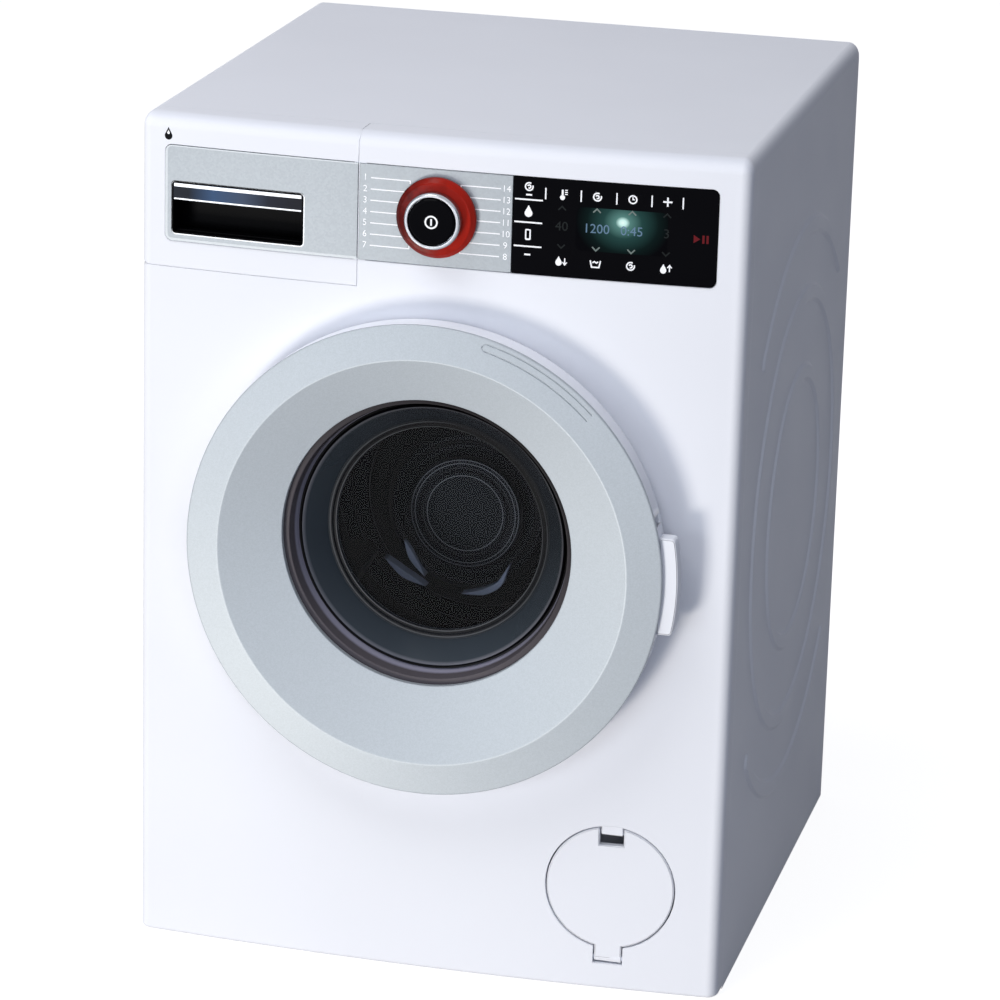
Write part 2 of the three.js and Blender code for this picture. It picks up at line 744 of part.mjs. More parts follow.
// The front moulding with all its openings, posts and hinge ears
function frontPanel() {
  const outside = cut(frontBlank(0, seamY), drawerCorner(seamGap / 2));
  const inside = cut(frontBlank(wall, seamY + overrun), drawerCorner(seamGap / 2 + wall));
  const shell = cut(outside, inside);

  const boardPosts = [boardLeftX + boardPostInset, boardRightX - boardPostInset].flatMap((x) =>
    [boardBottomZ + boardPostInset, boardTopZ - boardPostInset].map((z) =>
      rodAlongY(boardPostRadius, frontAt(x) + wall * 3 / 4, boardFrontY - fitGap, x, z, tinySides)));
  const tubPosts = tubEarPlaces().map(([x, z]) =>
    rodAlongY(gearPostRadius, frontAt(x) + wall / 2, tubFrontY - fitGap, x, z, tinySides));
  const snapTop = flapZ + flapRadius + overrun;
  const snapHalf = flapNotchWidth / 2 - seamGap;
  const snapBar = onFront(
    rectangle(flapX - snapHalf, flapX + snapHalf, flapZ + flapRadius - snapBarHeight, snapTop),
    -snapBarSetBack, snapBarThickness);

  const doorOpening = throughFront(
    new THREE.Shape().absarc(0, windowZ, sealOpeningRadius, 0, 2 * Math.PI), largeSides);
  const hubHole = rodAlongY(hubRadius + fitGap, middleFrontY - overrun, seamY, 0, dialZ);
  const hingeSlot = throughFront(rectangle(
    hingeX - hingeShankThickness / 2, hingeX + hingeShankThickness / 2,
    doorCentreZ - hingeEyeHeight / 2, doorCentreZ + hingeEyeHeight / 2, fitGap));
  const latchSlot = throughFront(rectangle(
    latchX - latchThickness / 2, latchX + latchThickness / 2 + latchBarb,
    doorCentreZ - latchHeight / 2, doorCentreZ + latchHeight / 2, latchSlotPlay));
  const trunnionReach = flapTabWidth / 2 + flapTrunnionLength + seamGap;
  const trunnionBore = rodAlongX(
    flapTrunnionRadius + fitGap, flapX - trunnionReach, flapX + trunnionReach, flapAxisY, flapAxisZ);

  const withCarriers = join(shell, ...boardPosts, ...tubPosts, ...flapEars(0));
  const opened = cut(
    withCarriers, doorOpening, hubHole, hingeSlot, latchSlot, flapOutline(seamGap), trunnionBore,
    recessTool(programmePlateOutline(fitGap)), recessTool(displayOutline(fitGap)));
  return piece('front_panel', join(opened, snapBar), whitePlastic);
}

// Directions and places of the tub's fixing ears, as seen from the front
function tubEarAngles() {
  return Array.from({ length: tubEarCount }, (_, i) => 2 * Math.PI * (i + 1 / 2) / tubEarCount);
}

function tubEarPlaces() {
  return tubEarAngles().map((angle) => [
    tubEarCircle * Math.cos(angle), doorCentreZ + tubEarCircle * Math.sin(angle)]);
}

// An ear's outline: round at its end and straight-sided back to the tub's wall
function tubEarOutline(angle) {
  const quarter = Math.PI / 2;
  const root = tubRadius - innerWall;
  const [rootX, rootZ] = [root * Math.cos(angle), doorCentreZ + root * Math.sin(angle)];
  const [sideX, sideZ] = [tubEarRadius * Math.sin(angle), tubEarRadius * Math.cos(angle)];
  const shape = new THREE.Shape();
  shape.moveTo(rootX + sideX, rootZ - sideZ);
  shape.absarc(
    tubEarCircle * Math.cos(angle), doorCentreZ + tubEarCircle * Math.sin(angle),
    tubEarRadius, angle - quarter, angle + quarter);
  shape.lineTo(rootX - sideX, rootZ + sideZ);
  shape.closePath();
  return shape;
}

// Cabinet shell: top and sides in one, with relief rings on the sides and bosses for the rear screws
function shellOutline(inset) {
  const side = halfWidth - inset;
  const top = cabinetHeight - inset;
  const radius = topEdgeRadius - inset;
  const outline = [[-side, 0]];
  for (let i = 0; i <= edgeSteps; i += 1) {
    const angle = Math.PI / 2 * i / edgeSteps;
    outline.push([-side + radius * (1 - Math.cos(angle)), top - radius * (1 - Math.sin(angle))]);
  }
  for (let i = edgeSteps; i >= 0; i -= 1) {
    const angle = Math.PI / 2 * i / edgeSteps;
    outline.push([side - radius * (1 - Math.cos(angle)), top - radius * (1 - Math.sin(angle))]);
  }
  outline.push([side, 0]);
  return outline;
}

function placeOnSide(geometry, side) {
  geometry.rotateZ(-side * Math.PI / 2);
  geometry.translate(side * halfWidth, reliefCentreY, reliefCentreZ);
  return solidOf(geometry);
}

function reliefRing(radius, side, sides) {
  const profile = [
    [radius - reliefWidth / 2, -reliefRoot], [radius + reliefWidth / 2, -reliefRoot],
    [radius + reliefWidth / 2 - reliefSlope, reliefHeight],
    [radius - reliefWidth / 2 + reliefSlope, reliefHeight],
    [radius - reliefWidth / 2, -reliefRoot],
  ];
  const points = profile.map(([r, y]) => new THREE.Vector2(r, y));
  return placeOnSide(new THREE.LatheGeometry(points, sides), side);
}

// The outermost ring only shows as an arc at the top and one at the bottom, with round ends
function reliefArcs(side) {
  const reach = reliefOuterRadius + reliefWidth;
  const spread = reach * Math.tan(reliefArcHalfAngle);
  const wedges = [-1, 1].map((up) => prismAlongX(
    polygon([
      [reliefCentreY, reliefCentreZ],
      [reliefCentreY + up * spread, reliefCentreZ + up * reach],
      [reliefCentreY - up * spread, reliefCentreZ + up * reach],
    ]),
    side * halfWidth - 2 * reliefHeight, side * halfWidth + 2 * reliefHeight));
  const ring = reliefRing(reliefOuterRadius, side, mediumSides);
  const ends = [-1, 1].flatMap((up) => [-1, 1].map((across) => {
    const y = reliefOuterRadius * Math.sin(reliefArcHalfAngle) * across;
    const z = reliefOuterRadius * Math.cos(reliefArcHalfAngle) * up;
    const points = [
      new THREE.Vector2(0, -reliefRoot), new THREE.Vector2(reliefWidth / 2, -reliefRoot),
      new THREE.Vector2(reliefWidth / 2 - reliefSlope, reliefHeight), new THREE.Vector2(0, reliefHeight),
    ];
    const dome = new THREE.LatheGeometry(points, tinySides).rotateZ(-side * Math.PI / 2);
    return solidOf(dome.translate(side * halfWidth, reliefCentreY + y, reliefCentreZ + z));
  }));
  return join(ring.intersect(join(...wedges)), ...ends);
}

function screwPlaces() {
  const x = halfWidth - wall - screwBossRadius + wall / 10;
  return [
    [-x, screwBossBottomZ], [x, screwBossBottomZ],
    [-x, cabinetHeight - screwBossTopDrop], [x, cabinetHeight - screwBossTopDrop],
  ];
}

function cabinetShell() {
  const outline = polygon([...shellOutline(0), ...shellOutline(wall).reverse()]);
  const shell = prismAlongY(outline, seamY + seamGap, backY);
  const relief = [-1, 1].flatMap((side) => [
    reliefRing(reliefInnerRadius, side, innerSides),
    reliefRing(reliefMiddleRadius, side, mediumSides),
    reliefArcs(side),
  ]);
  const bosses = screwPlaces().map(([x, z]) =>
    rodAlongY(screwBossRadius, rearCoverY - fitGap - screwBossLength, rearCoverY - fitGap, x, z));
  const pilots = screwPlaces().map(([x, z]) =>
    rodAlongY(screwShankRadius + fitGap, backY - screwShankLength - overrun, backY, x, z, tinySides));
  return piece('cabinet_shell', cut(join(shell, ...relief, ...bosses), ...pilots), whitePlastic);
}

// Rear cover, flush inside the shell's rear edge
function rearCover() {
  const side = halfWidth - wall - fitGap;
  const bottom = baseThickness + fitGap;
  const top = cabinetHeight - wall - fitGap;
  const radius = topEdgeRadius - wall - fitGap;
  const sheet = prismAlongY(
    polygon([[-side, bottom], [-side, top - radius], [-side + radius, top],
      [side - radius, top], [side, top - radius], [side, bottom]]), rearCoverY, backY);
  const vents = Array.from({ length: ventCount }, (_, i) => {
    const z = ventMiddleZ + ventPitch * (i - (ventCount - 1) / 2);
    return prismAlongY(roundedRectangle(
      -ventWidth / 2, ventWidth / 2, z - ventHeight / 2, z + ventHeight / 2, ventHeight / 2, ventHeight / 2),
    rearCoverY - overrun, backY + overrun, ventEndSides);
  });
  const bayHole = prismAlongY(bayDoorOutline(fitGap), rearCoverY - overrun, backY + overrun);
  const outletHole = rodAlongY(
    outletRadius + fitGap, rearCoverY - overrun, backY + overrun, outletX, outletZ);
  const outletSeat = rodAlongY(
    outletFlangeRadius + fitGap, backY - outletFlangeThickness, backY + overrun, outletX, outletZ);
  const screwHoles = screwPlaces().flatMap(([x, z]) => [
    rodAlongY(screwShankRadius + fitGap, rearCoverY - overrun, backY + overrun, x, z, tinySides),
    rodAlongY(screwHeadRadius + fitGap, backY - screwHeadHeight - fitGap, backY + overrun, x, z, smallSides),
  ]);
  const cover = cut(sheet, ...vents, bayHole, outletHole, outletSeat, ...screwHoles);
  return piece('rear_cover', cover, whitePlastic);
}

function screw(name, x, z) {
  const head = rodAlongY(screwHeadRadius, backY - screwHeadHeight, backY);
  const shankEndY = backY - screwHeadHeight / 2;
  const shank = rodAlongY(screwShankRadius, backY - screwShankLength, shankEndY, 0, 0, tinySides);
  const slotWidth = screwHeadRadius / 4;
  const slot = block(
    -screwHeadRadius, screwHeadRadius, backY - screwHeadHeight / 2, backY + overrun, -slotWidth, slotWidth);
  const mesh = piece(name, cut(join(head, shank), slot), steel);
  mesh.position.set(x, 0, z);
  return mesh;
}

function basePlate() {
  const side = halfWidth - wall - fitGap;
  const front = seamY + seamGap;
  return piece('base_plate', block(-side, side, front, backY, 0, baseThickness), whitePlastic);
}

// Battery bay in the lower part of the rear cover
function bayDoorOutline(grow) {
  const half = bayWidth / 2 - bayLip;
  return rectangle(-half, half, bayBottomZ + bayLip, bayBottomZ + bayHeight - bayLip, grow);
}

const bayBossZ = bayBottomZ + bayHeight - innerWall - bayBossRadius + wall / 10;

function batteryBox() {
  const half = bayWidth / 2;
  const mouthY = rearCoverY - fitGap;
  const outer = block(-half, half, mouthY - bayDepth, mouthY, bayBottomZ, bayBottomZ + bayHeight);
  const inner = block(
    -half + innerWall, half - innerWall, mouthY - bayDepth + innerWall, mouthY + overrun,
    bayBottomZ + innerWall, bayBottomZ + bayHeight - innerWall);
  const boss = rodAlongY(bayBossRadius, mouthY - bayDepth + innerWall / 2, mouthY, 0, bayBossZ);
  const pilot = rodAlongY(
    screwShankRadius + fitGap, backY - screwShankLength - overrun, backY, 0, bayBossZ, tinySides);
  return piece('battery_box', cut(join(cut(outer, inner), boss), pilot), blackPlastic);
}

function batteryDoor() {
  const sheet = prismAlongY(bayDoorOutline(0), rearCoverY, backY);
  const shankHole = rodAlongY(
    screwShankRadius + fitGap, rearCoverY - overrun, backY + overrun, 0, bayBossZ, tinySides);
  const headSeat = rodAlongY(
    screwHeadRadius + fitGap, backY - screwHeadHeight - fitGap, backY + overrun, 0, bayBossZ, smallSides);
  return piece('battery_door', cut(sheet, shankHole, headSeat), whitePlastic);
}

function batteryContact(name, side) {
  const wallX = bayWidth / 2 - innerWall - fitGap;
  const near = side * wallX;
  const far = side * (wallX - contactThickness);
  const middleZ = bayBottomZ + (bayHeight - contactHeight) / 2;
  const farY = rearCoverY - fitGap - bayDepth + innerWall + fitGap;
  const plate = block(
    Math.min(near, far), Math.max(near, far), farY, farY + contactDepth, middleZ, middleZ + contactHeight);
  return piece(name, plate, brass);
}

// Door ring: a silver annulus whose dish runs in from a round crest to the window edge, which sits higher
function doorRing() {
  const edgeY = frontY - doorEdgeAhead;
  const crestY = frontY - doorCrestAhead;
  const windowY = frontY - windowEdgeAhead;
  const backFaceY = edgeY + doorEdgeThickness;
  const circles = [
    [doorRadius, backFaceY, doorCentreZ],
    [doorRadius, edgeY, doorCentreZ],
    [doorRadius - doorEdgeBevel, edgeY - doorEdgeBevel, doorCentreZ],
    [doorCrestRadius + doorCrestWidth / 2, crestY + doorEdgeBevel / 4, doorCentreZ],
    [doorCrestRadius, crestY, doorCentreZ],
    [doorCrestRadius - doorCrestWidth / 2, crestY + doorEdgeBevel / 2, doorCentreZ],
    [windowRadius, windowY, windowZ],
    [windowRadius, windowY + windowLip, windowZ],
    [windowRadius + windowLip, windowY + windowLip, windowZ],
    [doorCrestRadius - doorCrestWidth, backFaceY, doorCentreZ],
  ];
  const ring = ringThroughCircles(circles, largeSides);
  const band = (grow) => prismAlongY(ringMarkOutline(grow), crestY, edgeY, tinySides);
  const sunkRing = shifted(ring, new THREE.Vector3(0, ringMarkDepth, 0));
  const mark = cut(band(0), band(-ringMarkLine), sunkRing);
  return piece('door_ring', cut(ring, mark), silverPaint);
}

// The oblong mark on the ring's bevel, round at its upper end and straight at its lower end
function ringMarkOutline(grow) {
  const outer = doorRadius - ringMarkInset + grow;
  const inner = doorRadius - ringMarkInset - ringMarkWidth - grow;
  const middle = (outer + inner) / 2;
  const start = ringMarkStart - grow / middle;
  const shape = new THREE.Shape();
  shape.absarc(0, doorCentreZ, outer, start, ringMarkEnd);
  shape.absarc(
    middle * Math.cos(ringMarkEnd), doorCentreZ + middle * Math.sin(ringMarkEnd),
    (outer - inner) / 2, ringMarkEnd, ringMarkEnd + Math.PI);
  shape.absarc(0, doorCentreZ, inner, ringMarkEnd, start, true);
  shape.closePath();
  return shape;
}

// Door rim: the white body behind the ring, with the grip tab on one side and the hinge knuckles on the other
function doorRim() {
  const outerRadius = doorRadius - fitGap;
  const frontFaceY = frontY - doorEdgeAhead + doorEdgeThickness + fitGap;
  const backFaceY = frontY - doorBackAhead;
  const plateY = backFaceY - doorBackPlate;
  const circles = [
    [outerRadius - doorRimChamfer, backFaceY, doorCentreZ],
    [outerRadius, backFaceY - doorRimChamfer, doorCentreZ],
    [outerRadius, frontFaceY, doorCentreZ],
    [outerRadius - doorRimWall, frontFaceY, doorCentreZ],
    [outerRadius - doorRimWall, plateY, doorCentreZ],
    [bowlMouthRadius + windowThickness + 2 * fitGap + doorBackPlate, plateY, windowZ],
    [bowlMouthRadius + windowThickness + 2 * fitGap, backFaceY, windowZ],
  ];
  const rim = ringThroughCircles(circles, largeSides);

  const gripFrontY = frontFaceY + fitGap;
  const grip = prismAlongY(
    gripOutline(outerRadius - doorRimWall), gripFrontY, gripFrontY + gripThickness, edgeSteps);
  const notchZ = doorCentreZ + gripHeight / 2 + rimNotchAbove;
  const notch = block(
    doorRadius / 2, doorRadius + overrun, frontFaceY - overrun, frontFaceY + rimNotchDepth,
    notchZ - rimNotchHeight / 2, notchZ + rimNotchHeight / 2);

  const envelope = turned([
    [0, frontFaceY], [outerRadius, frontFaceY],
    [outerRadius, backFaceY - doorRimChamfer], [outerRadius - doorRimChamfer, backFaceY], [0, backFaceY],
  ], largeSides, doorCentreZ);
  const knuckleReach = hingeEyeHeight / 2 + fitGap + hingeKnuckleHeight;
  const knuckles = block(
    hingeX - hingeKnuckleWidth / 2, hingeX + hingeKnuckleWidth / 2, frontFaceY, backFaceY,
    doorCentreZ - knuckleReach, doorCentreZ + knuckleReach).intersect(envelope);
  const eyeSpace = block(
    -doorRadius - overrun, hingeX + hingeEyeRadius + seamGap,
    frontFaceY - overrun, backFaceY + overrun,
    doorCentreZ - hingeEyeHeight / 2 - fitGap, doorCentreZ + hingeEyeHeight / 2 + fitGap);
  const pinReach = hingePinReach() + fitGap;
  const pinBore = rodAlongZ(
    hingePinRadius + fitGap, doorCentreZ - pinReach, doorCentreZ + pinReach, hingeX, hingeY, smallSides);
  return piece('door_rim', cut(join(rim, grip, knuckles), notch, eyeSpace, pinBore), whitePlastic);
}

// The grip tab's outer edge runs round the door's centre
function gripOutline(fromX) {
  const half = gripHeight / 2;
  const cornerReach = gripReach - gripCornerRadius;
  const turn = Math.asin((half - gripCornerRadius) / cornerReach);
  const cornerX = cornerReach * Math.cos(turn);
  const shape = new THREE.Shape();
  shape.moveTo(fromX, doorCentreZ - half);
  shape.absarc(cornerX, doorCentreZ - half + gripCornerRadius, gripCornerRadius, -Math.PI / 2, -turn);
  shape.absarc(0, doorCentreZ, gripReach, -turn, turn);
  shape.absarc(cornerX, doorCentreZ + half - gripCornerRadius, gripCornerRadius, turn, Math.PI / 2);
  shape.lineTo(fromX, doorCentreZ + half);
  shape.closePath();
  return shape;
}

function hingePinReach() {
  return hingeEyeHeight / 2 + hingeKnuckleHeight - wall / 2;
}

// Door window: a shallow bowl of dark clear plastic with a flange behind the ring's inner lip
function doorWindow() {
  const flangeY = frontY - windowEdgeAhead + windowLip + fitGap;
  const flangeBackY = flangeY + windowFlange;
  const floorY = frontY - windowEdgeAhead + bowlDepth;
  const outside = [
    [bowlMouthRadius + windowFlangeWidth, flangeY],
    [bowlMouthRadius + windowFlangeWidth, flangeBackY],
    [bowlMouthRadius + windowThickness, flangeBackY],
    [bowlThroatRadius + windowThickness / 2, flangeBackY + bowlDepth / 3],
    [bowlShoulderRadius + windowThickness, floorY - bowlDepth / 4],
    [bowlFloorRadius + 2 * windowThickness, floorY + windowThickness * 3 / 4],
    [bowlFloorRadius, floorY + windowThickness],
    [0, floorY + windowThickness],
  ];
  const inside = [
    [0, floorY],
    [bowlFloorRadius - windowThickness / 2, floorY],
    [bowlFloorRadius + windowThickness, floorY - windowThickness / 2],
    [bowlShoulderRadius, floorY - bowlDepth / 4 - windowThickness / 2],
    [bowlThroatRadius - windowThickness / 2, flangeBackY + bowlDepth / 3 - windowThickness / 4],
    [bowlMouthRadius, flangeY],
  ];
  const points = [...outside, ...inside].map(([radius, y]) => new THREE.Vector2(radius, y));
  points.push(points[0].clone());
  const bowl = new THREE.LatheGeometry(points, innerSides).translate(0, 0, windowZ);
  return piece('door_window', solidOf(bowl), darkGlass);
}

function latchHook() {
  const rootY = frontY - doorBackAhead + fitGap;
  const tipY = rootY + latchLength;
  const left = latchX - latchThickness / 2;
  const right = latchX + latchThickness / 2;
  const blade = polygon([
    [left, rootY], [right, rootY], [right, tipY - 3 * latchBarb],
    [right + latchBarb, tipY - 2 * latchBarb], [right, tipY], [left, tipY],
  ]);
  return piece('latch_hook', prismAlongZ(
    blade, doorCentreZ - latchHeight / 2, doorCentreZ + latchHeight / 2), whitePlastic);
}

// Fixed side of the door's hinge and latch, behind and through the front
function hingeBracket() {
  const behind = frontAt(hingeX) + wall + fitGap;
  const eye = rodAlongZ(
    hingeEyeRadius, doorCentreZ - hingeEyeHeight / 2, doorCentreZ + hingeEyeHeight / 2,
    hingeX, hingeY, smallSides);
  const shank = block(
    hingeX - hingeShankThickness / 2, hingeX + hingeShankThickness / 2, hingeY, behind + hingeFlangeThickness,
    doorCentreZ - hingeEyeHeight / 2, doorCentreZ + hingeEyeHeight / 2);
  const flange = cut(
    block(
      hingeX - hingeFlangeWidth / 2, hingeX + hingeFlangeWidth / 2,
      frontAt(hingeX), behind + hingeFlangeThickness,
      doorCentreZ - hingeFlangeHeight / 2, doorCentreZ + hingeFlangeHeight / 2),
    spaceInFront());
  const bore = rodAlongZ(
    hingePinRadius + fitGap, doorCentreZ - hingeEyeHeight, doorCentreZ + hingeEyeHeight,
    hingeX, hingeY, smallSides);
  return piece('hinge_bracket', cut(join(eye, shank, flange), bore), steel);
}

function hingePin() {
  const reach = hingePinReach();
  return piece('hinge_pin', rodAlongZ(
    hingePinRadius, doorCentreZ - reach, doorCentreZ + reach, hingeX, hingeY, smallSides), steel);
}

function latchCatch() {
  const left = latchX + latchThickness / 2 + latchBarb + seamGap;
  const body = cut(
    block(
      left, left + catchWidth, frontAt(left), frontAt(left) + wall + catchDepth,
      doorCentreZ - catchHeight / 2, doorCentreZ + catchHeight / 2),
    spaceInFront());
  return piece('latch_catch', body, whitePlastic);
}

// Door seal: a rubber ring in the front's opening, with a lip that reaches in behind the window
function doorSeal() {
  const outer = sealOpeningRadius - fitGap;
  const frontFaceY = frontY - sealFrontBehind;
  const flangeY = frontAt(sealOpeningRadius) + wall + seamGap;
  const backFaceY = tubFrontY - fitGap;
  const lipY = backFaceY - sealLipThickness;
  return piece('door_seal', turned([
    [outer, frontFaceY], [outer, flangeY], [sealFlangeRadius, flangeY], [sealFlangeRadius, backFaceY],
    [sealLipRadius + sealWall, backFaceY], [sealLipRadius, lipY], [sealLipRadius, lipY - sealLipThickness],
    [outer - sealWall - sealLipThickness, flangeY], [outer - sealWall, frontFaceY],
  ], mediumSides, windowZ), sealRubber);
}

// Tub: the fixed housing round the drum, with front ears, water inlet, drain stub and gear posts
function tub() {
  const back = tubBackY;
  const bore = shaftRadius + bushWall + 2 * fitGap;
  const shell = turned([
    [tubMouthRadius, tubFrontY], [tubRadius, tubFrontY], [tubRadius, back],
    [bore, back], [bore, back - innerWall], [tubRadius - innerWall, back - innerWall],
    [tubRadius - innerWall, tubFrontY + innerWall], [tubMouthRadius, tubFrontY + innerWall],
  ], innerSides, doorCentreZ);
  const ears = tubEarAngles().map((angle) =>
    prismAlongY(tubEarOutline(angle), tubFrontY, tubFrontY + tubEarThickness, tinySides));
  const earSpace = rodAlongY(
    tubRadius - innerWall, tubFrontY + innerWall, back - innerWall, 0, doorCentreZ, innerSides);
  const posts = gearPostPlaces().map(([x, z]) =>
    rodAlongY(gearPostRadius, back - innerWall / 2, gearCoverY - fitGap, x, z, tinySides));
  const inlet = rodAlongZ(spoutRadius, doorCentreZ + tubRadius / 2, inletTopZ, inletX, spoutY, smallSides);
  const inletBore = rodAlongZ(
    spoutRadius - spoutWall, doorCentreZ + tubRadius / 2, inletTopZ + overrun, inletX, spoutY);
  const drainBottom = doorCentreZ - tubRadius - drainStubLength;
  const drain = rodAlongZ(
    spoutRadius, drainBottom, doorCentreZ - tubRadius + innerWall, 0, drainY, smallSides);
  const drainBore = rodAlongZ(
    spoutRadius - spoutWall, drainBottom - overrun, doorCentreZ - tubRadius / 2, 0, drainY);
  const fittings = [...ears, inlet].map((fitting) => cut(fitting, earSpace));
  return piece('tub', cut(join(shell, ...fittings, ...posts, drain), inletBore, drainBore), tubGrey);
}

function gearPostPlaces() {
  return Array.from({ length: gearPostCount }, (_, i) => {
    const angle = gearPostTurn + 2 * Math.PI * i / gearPostCount;
    return [gearPostCircle * Math.cos(angle), doorCentreZ + gearPostCircle * Math.sin(angle)];
  });
}

// Drum parts turn about Y on the drum's axis, which is the local origin
function drumShell() {
  return piece('drum_shell', turned([
    [drumMouthRadius, drumFrontY], [drumRadius, drumFrontY], [drumRadius, drumBackY],
    [drumInnerRadius, drumBackY], [drumInnerRadius, drumFrontY + innerWall],
    [drumMouthRadius, drumFrontY + innerWall],
  ], innerSides), drumGrey);
}

// Drum back: a rim, a cone that rises forward to a round boss, and a hub behind with the shaft's socket
function drumBack() {
  const rim = drumInnerRadius - fitGap;
  const coneTopY = drumRimY - drumBossRise;
  const faceY = coneTopY - drumBossFaceRise;
  const grooveOut = drumBossGrooveRadius + drumBossGroove / 2;
  const grooveIn = drumBossGrooveRadius - drumBossGroove / 2;
  const hubEndY = faceY + drumBossFaceRise + innerWall + drumHubLength;
  const socket = shaftRadius + fitGap;
  return piece('drum_back', turned([
    [0, faceY], [grooveIn, faceY], [grooveIn, faceY + drumBossGroove / 2],
    [grooveOut, faceY + drumBossGroove / 2], [grooveOut, faceY],
    [drumBossRadius, faceY], [drumBossRadius, coneTopY],
    [drumConeRadius, drumRimY - drumBossFaceRise / 2], [rim, drumRimY],
    [rim, drumRimY + drumBackStep], [drumConeRadius, drumRimY + innerWall],
    [drumBossRadius - innerWall, coneTopY + innerWall],
    [drumHubRadius, coneTopY + innerWall], [drumHubRadius, hubEndY],
    [socket, hubEndY], [socket, hubEndY - drumSocketDepth], [0, hubEndY - drumSocketDepth],
  ], innerSides), drumGrey);
}

// Drum vane: a tapered rib along the drum's wall
function drumVane(name, turn) {
  const seat = drumInnerRadius * Math.cos(Math.PI / innerSides) - fitGap;
  const halfAngle = Math.asin(vaneBaseWidth / 2 / seat);
  const base = [-1, -1 / 3, 1 / 3, 1].map((share) => [
    seat * Math.sin(share * halfAngle), seat * Math.cos(share * halfAngle)]);
  const top = drumInnerRadius - vaneHeight;
  const shape = polygon([
    ...base,
    [vaneTopWidth / 2, top + vaneTopWidth / 4], [vaneTopWidth / 4, top],
    [-vaneTopWidth / 4, top], [-vaneTopWidth / 2, top + vaneTopWidth / 4],
  ]);
  const fromY = drumFrontY + innerWall + fitGap;
  const mesh = piece(name, prismAlongY(shape, fromY, fromY + vaneLength), drumGrey);
  mesh.rotation.y = turn;
  return mesh;
}

function drumShaft() {
  const hubEndY = drumRimY - drumBossRise + innerWall + drumHubLength;
  return piece('drum_shaft', rodAlongY(
    shaftRadius, hubEndY - drumSocketDepth + fitGap, gearCoverY + gearCoverThickness), steel);
}

function drumBush() {
  const bore = shaftRadius + fitGap;
  const outer = bore + bushWall;
  const flangeY = tubBackY + fitGap;
  return piece('drum_bush', turned([
    [bore, tubBackY - 2 * innerWall], [outer, tubBackY - 2 * innerWall], [outer, flangeY],
    [outer + bushFlange, flangeY], [outer + bushFlange, flangeY + bushFlangeThickness],
    [bore, flangeY + bushFlangeThickness],
  ], smallSides), brass);
}

// Involute spur gear as a front-view outline, with one tooth centred on the direction `phase`
function involute(angle) {
  return Math.tan(angle) - angle;
}

function gearOutline(teeth, size, phase) {
  const pitchRadius = teeth * size / 2;
  const baseRadius = pitchRadius * Math.cos(pressureAngle);
  const halfToothAtPitch = Math.PI / (2 * teeth) - gearBacklash / (2 * pitchRadius);
  const halfToothAt = (radius) => {
    const angle = Math.acos(Math.min(1, baseRadius / radius));
    return halfToothAtPitch + involute(pressureAngle) - involute(angle);
  };
  const radii = [pitchRadius - dedendumShare * size, pitchRadius, pitchRadius + addendumShare * size];
  const points = [];
  for (let tooth = 0; tooth < teeth; tooth += 1) {
    const middle = phase + 2 * Math.PI * tooth / teeth;
    const rising = radii.map((radius) => [radius, middle - halfToothAt(radius)]);
    const falling = radii.map((radius) => [radius, middle + halfToothAt(radius)]).reverse();
    points.push(...rising, ...falling);
  }
  return polygon(points.map(([radius, angle]) => [radius * Math.cos(angle), radius * Math.sin(angle)]));
}

function drumGear() {
  const disc = prismAlongY(gearOutline(drumGearTeeth, gearModule, idlerDirection), gearFromY, gearToY);
  const bore = rodAlongY(shaftRadius + fitGap, gearFromY - overrun, gearToY + overrun);
  return piece('drum_gear', cut(disc, bore), gearWhite);
}

// Idler: a wheel that the motor's pinion drives and a small gear that drives the drum, in one piece
function idlerGear() {
  const wheel = prismAlongY(
    gearOutline(idlerWheelTeeth, wheelModule, motorDirection), wheelFromY, wheelFromY + wheelWidth);
  const pinionPhase = idlerDirection + Math.PI + Math.PI / idlerPinionTeeth;
  const pinion = prismAlongY(
    gearOutline(idlerPinionTeeth, gearModule, pinionPhase), wheelFromY + wheelWidth / 2, gearToY);
  const bore = rodAlongY(
    idlerPinRadius + fitGap, wheelFromY - overrun, gearToY + overrun, 0, 0, tinySides);
  return piece('idler_gear', cut(join(wheel, pinion), bore), gearWhite);
}

function idlerPin() {
  return piece('idler_pin', rodAlongY(
    idlerPinRadius, tubBackY + fitGap, gearCoverY + gearCoverThickness, 0, 0, tinySides), steel);
}

function motorPinion() {
  const phase = motorDirection + Math.PI + Math.PI / motorPinionTeeth;
  const gear = prismAlongY(
    gearOutline(motorPinionTeeth, wheelModule, phase), wheelFromY - fitGap, wheelFromY + wheelWidth + fitGap);
  const shaft = rodAlongY(
    motorShaftRadius, wheelFromY, motorFrontY - motorBossLength - fitGap, 0, 0, tinySides);
  return piece('motor_pinion', join(gear, shaft), steel);
}

